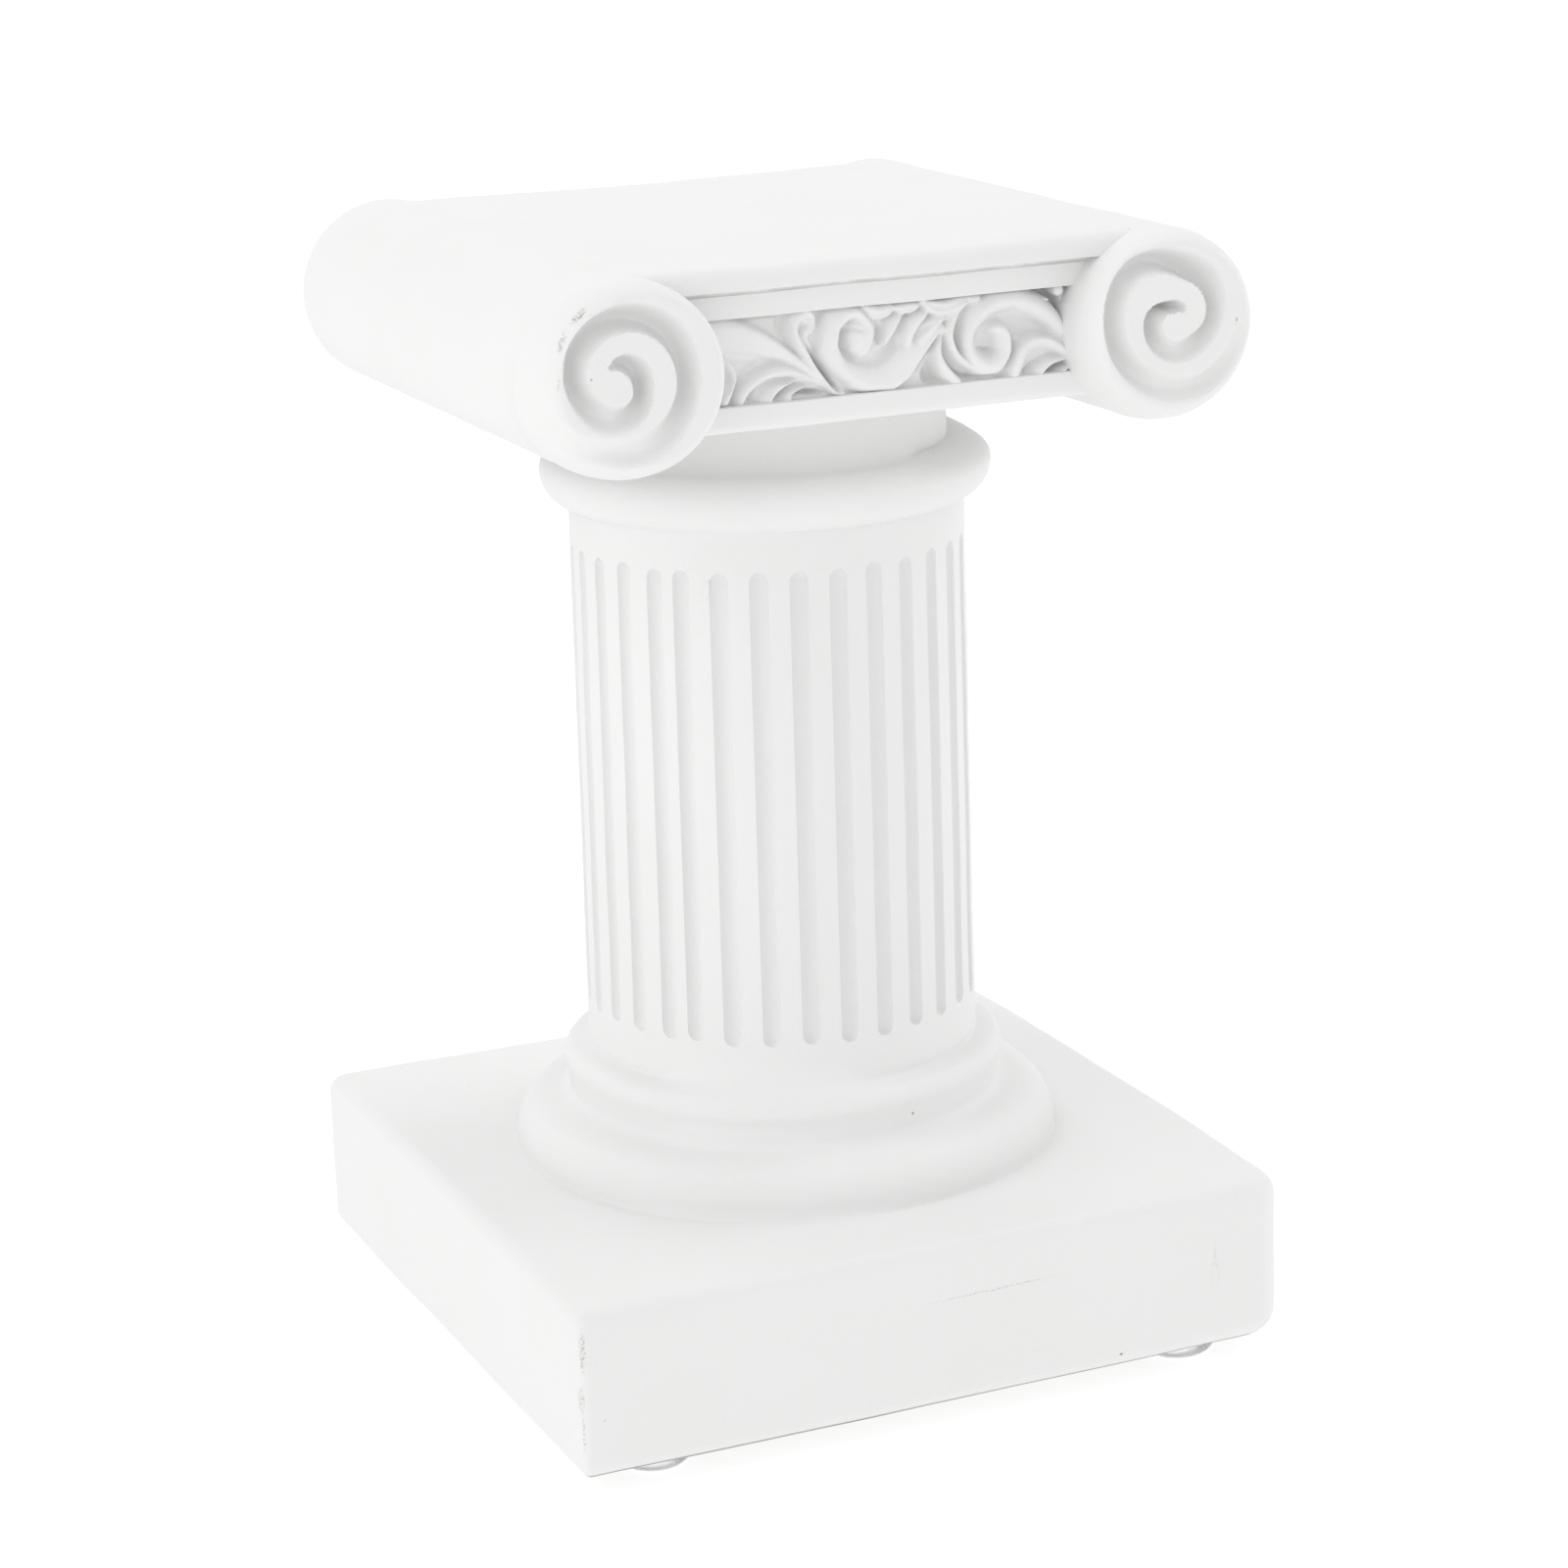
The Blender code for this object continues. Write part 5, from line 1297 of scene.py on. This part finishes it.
def plaster_material(look):
    """Matt casting plaster: faint clouds, fine grain, pinholes, the dirt and flaws of this casting, and
    painted shade along the plinth's bottom edge.
    """
    made, tree, shader = new_material("casting_plaster")
    where = node(tree, "ShaderNodeTexCoord", {}).outputs["Object"]
    clouds = ramp(tree, noise(tree, where, scale=60, detail=3.0), 0.38, 0.72)
    grainy = noise(tree, where, scale=2600, roughness=0.7)
    dull = total(tree, times(tree, clouds, 0.35), ramp(tree, grainy, 0.50, 0.95), clamp=True)
    clean = blend_colours(tree, dull, (*look.plaster, 1.0), (*look.cloudy, 1.0))

    # Uneven edges for the flaws come from shifting the place by a little noise
    colours = noise(tree, where, scale=700, detail=3.0, output="Color")
    centred = vector_maths(tree, "SUBTRACT", colours, (0.5, 0.5, 0.5))
    shift = vector_maths(tree, "MULTIPLY", centred, (MARK_SHIFT, MARK_SHIFT, MARK_SHIFT))
    ragged = vector_maths(tree, "ADD", where, shift)
    broken = ramp(tree, noise(tree, where, scale=4200), 0.42, 0.62)
    dirt, lifts = [], []
    for middle, half, tilt, darkness, height in MARKS:
        mask = mark_mask(tree, ragged, middle, half, tilt)
        if darkness:
            dirt.append(times(tree, mask, darkness))
        if height:
            lifts.append(times(tree, mask, height * MM))

    # One cell in five of a fine pattern has a pinhole
    holes = node(tree, "ShaderNodeTexVoronoi", {"Vector": where, "Scale": 150}, feature="F1")
    near = ramp(tree, holes.outputs["Distance"], 0.030, 0.012)
    cell = node(tree, "ShaderNodeSeparateColor", {"Color": holes.outputs["Color"]}).outputs["Red"]
    pinholes = times(tree, near, maths(tree, "GREATER_THAN", cell, 0.80))

    # Painted shade: the plinth is darkened near its bottom edge, where it would be in shadow against the
    # floor
    height = node(tree, "ShaderNodeSeparateXYZ", {0: where}).outputs["Z"]
    under = times(tree, ramp(tree, height, BOTTOM_SHADE_FROM, BOTTOM_SHADE_FULL), look.painted_bottom_shade)
    flawed, pitted = times(tree, total(tree, *dirt), broken), times(tree, pinholes, 0.35)
    # The mark colour carries the dirt, the pinholes and the painted shade at the plinth's bottom edge
    dark = total(tree, flawed, pitted, under, clamp=True)
    fill(tree, shader, {
        "Base Color": blend_colours(tree, dark, clean, (*look.mark, 1.0)),
        "Roughness": look.roughness,
        "Specular IOR Level": 0.3,
    })
    waves = times(tree, noise(tree, where, scale=180), WAVE_HEIGHT)
    grains = times(tree, grainy, GRAIN_HEIGHT)
    pits = times(tree, pinholes, -PINHOLE_DEPTH)
    flaws = times(tree, total(tree, *lifts), MARK_RISE_SHARE)
    bump(tree, shader, total(tree, waves, grains, pits, flaws), strength=look.grain, distance=1.0)
    return made


def pad_material(look):
    """Clear soft plastic with a faintly uneven skin."""
    made, tree, shader = new_material("clear_pad_plastic")
    where = node(tree, "ShaderNodeTexCoord", {}).outputs["Object"]
    dusty = ramp(tree, noise(tree, where, scale=900, detail=3.0), 0.5, 0.8)
    fill(tree, shader, {
        "Base Color": blend_colours(tree, dusty, (*look.pad, 1.0), (*look.pad_dust, 1.0)),
        "Roughness": look.pad_roughness,
        "IOR": 1.49,
        "Transmission Weight": 0.7,
    })
    bump(tree, shader, noise(tree, where, scale=500), strength=0.15, distance=0.0002)
    return made


def shade(piece, sharp_angle, material):
    """Smooth shading with sharp edges above an angle, and one material."""
    piece.data.shade_smooth()
    piece.data.set_sharp_from_angle(angle=math.radians(sharp_angle))
    piece.data.materials.clear()
    piece.data.materials.append(material)


class ROMANCOLUMN_OT_casting(bpy.types.Operator):
    """Build the plaster casting: plinth, fluted shaft and carved capital in one piece"""

    bl_idname = "roman_column.casting"
    bl_label = "Plaster Casting"

    def execute(self, context):
        settings = context.scene.roman_column
        capital = settings.capital
        body = plinth_piece(settings.plinth)

        # Seen from behind, the left roll has its front's groove, and the right roll has the mirror image
        left_spiral = spiral_groove(LEFT_PICKS, -1, LEFT_SPIRAL_MIDDLE)
        right_spiral = spiral_groove(RIGHT_PICKS, 1, RIGHT_SPIRAL_MIDDLE)
        others = [
            turned_piece(settings.shaft, PLINTH_BOTTOM + settings.plinth.height / MM),
            slab_piece(capital),
            frieze_piece(capital),
            bead_piece(capital),
            roll_piece("roll_left", -1, left_spiral, left_spiral, capital),
            roll_piece("roll_right", 1, right_spiral, mirrored(left_spiral), capital),
        ]
        casting = cast_together(body, others)
        casting.name = casting.data.name = "plaster_casting"
        shade(casting, CASTING_SHARP, plaster_material(settings.finish))
        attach(casting, "root")
        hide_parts(CASTING_NODE)
        return {"FINISHED"}


class ROMANCOLUMN_OT_pads(bpy.types.Operator):
    """Build the four clear pads that the column stands on"""

    bl_idname = "roman_column.pads"
    bl_label = "Clear Pads"

    def execute(self, context):
        settings = context.scene.roman_column
        clear = pad_material(settings.finish)
        sizes = settings.pads
        half, flat, high = sizes.diameter / MM / 2, sizes.flat / MM / 2, sizes.height / MM
        outline = [(half - 0.25, high), (half - 0.08, high - 0.06), (half, high - 0.2), (half, high - 0.6)]
        outline += quarter((half, high - 0.6), (flat, 0.02), 10, False)
        outline += [(flat * 0.7, 0.0), (flat * 0.3, 0.0)]
        turn = np.arange(64) * 2 * math.pi / 64
        for number, name in enumerate(PAD_NODES):
            low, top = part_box(name)
            middle = (low + top) / 2 / MM
            wavy = 1 + 0.004 * np.sin(3 * turn + number) - 0.004
            rings = [ring_points(turn, r * wavy, z) + (middle.x, middle.y, 0) for r, z in outline]
            pad = ring_piece(name + "_clear", rings)
            shade(pad, PAD_SHARP, clear)
            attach(pad, "root")
            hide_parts(name)
        return {"FINISHED"}


def area_light(name, place, power):
    """A round lamp that faces the column."""
    light = bpy.data.lights.new(name, "AREA")
    light.shape = "DISK"
    light.size = LAMP_SIZE
    light.energy = power
    lamp = bpy.data.objects.new(name, light)
    lamp.location = place
    lamp.rotation_euler = (Vector(LAMP_AIM) - Vector(place)).to_track_quat("-Z", "Y").to_euler()
    bpy.context.scene.collection.objects.link(lamp)


def photo_camera():
    """The camera at the photo's viewing angle."""
    camera = bpy.data.cameras.new("camera")
    camera.sensor_width = SENSOR_WIDTH
    camera.lens = LENS
    camera.clip_start = 0.01
    eye, right, up, back = camera_axes()
    viewer = bpy.data.objects.new("camera", camera)
    turned = Matrix((right.tolist(), up.tolist(), back.tolist())).transposed()
    viewer.matrix_world = Matrix.Translation((eye * MM).tolist()) @ turned.to_4x4()
    bpy.context.scene.collection.objects.link(viewer)
    return viewer


class ROMANCOLUMN_OT_stage(bpy.types.Operator):
    """Build the pale floor, the soft light and the camera"""

    bl_idname = "roman_column.stage"
    bl_label = "Stage"

    def execute(self, context):
        look = context.scene.roman_column.stage
        mesh = bpy.data.meshes.new("studio_floor")
        corners = [(x * FLOOR_REACH, y * FLOOR_REACH, 0) for x, y in ((-1, -1), (1, -1), (1, 1), (-1, 1))]
        mesh.from_pydata(corners, [], [(0, 1, 2, 3)])
        floor = bpy.data.objects.new("studio_floor", mesh)
        context.scene.collection.objects.link(floor)
        paper, tree, shader = new_material("studio_paper")
        fill(tree, shader, {
            "Base Color": (*look.floor, 1.0),
            "Roughness": 0.9,
            "Specular IOR Level": 0.0,
            "Emission Color": (1.0, 1.0, 1.0, 1.0),
            "Emission Strength": look.glow,
        })
        mesh.materials.append(paper)

        world = bpy.data.worlds.new("studio_sky")
        world.use_nodes = True
        sky = {"Color": (1.0, 1.0, 1.0, 1.0), "Strength": look.sky}
        fill(world.node_tree, world.node_tree.nodes["Background"], sky)
        context.scene.world = world
        for name, place in LAMP_PLACES.items():
            area_light(name + "_light", place, getattr(look, name))
        context.scene.camera = photo_camera()
        context.scene.view_settings.view_transform = "Standard"
        return {"FINISHED"}


class ROMANCOLUMN_PT_panel(bpy.types.Panel):
    """Builds and sizes of the Roman column"""

    bl_idname = "ROMANCOLUMN_PT_panel"
    bl_label = "Roman Column"
    bl_space_type = "VIEW_3D"
    bl_region_type = "UI"
    bl_category = "Column"

    def draw(self, context):
        settings = context.scene.roman_column
        for operator in (ROMANCOLUMN_OT_casting, ROMANCOLUMN_OT_pads, ROMANCOLUMN_OT_stage):
            self.layout.operator(operator.bl_idname)
        for group in ("plinth", "shaft", "capital", "pads", "finish", "stage"):
            box = self.layout.box()
            box.label(text=group.capitalize())
            values = getattr(settings, group)
            for name in values.__annotations__:
                box.prop(values, name)


CLASSES = (
    PlinthSizes,
    ShaftSizes,
    CapitalSizes,
    PadSizes,
    FinishLook,
    StageLook,
    ColumnSettings,
    ROMANCOLUMN_OT_casting,
    ROMANCOLUMN_OT_pads,
    ROMANCOLUMN_OT_stage,
    ROMANCOLUMN_PT_panel,
)


def register():
    for item in CLASSES:
        bpy.utils.register_class(item)
    bpy.types.Scene.roman_column = PointerProperty(type=ColumnSettings)


def unregister():
    del bpy.types.Scene.roman_column
    for item in reversed(CLASSES):
        bpy.utils.unregister_class(item)


def main():
    register()
    bpy.ops.roman_column.casting()
    bpy.ops.roman_column.pads()
    bpy.ops.roman_column.stage()


if __name__ == "__main__":
    main()
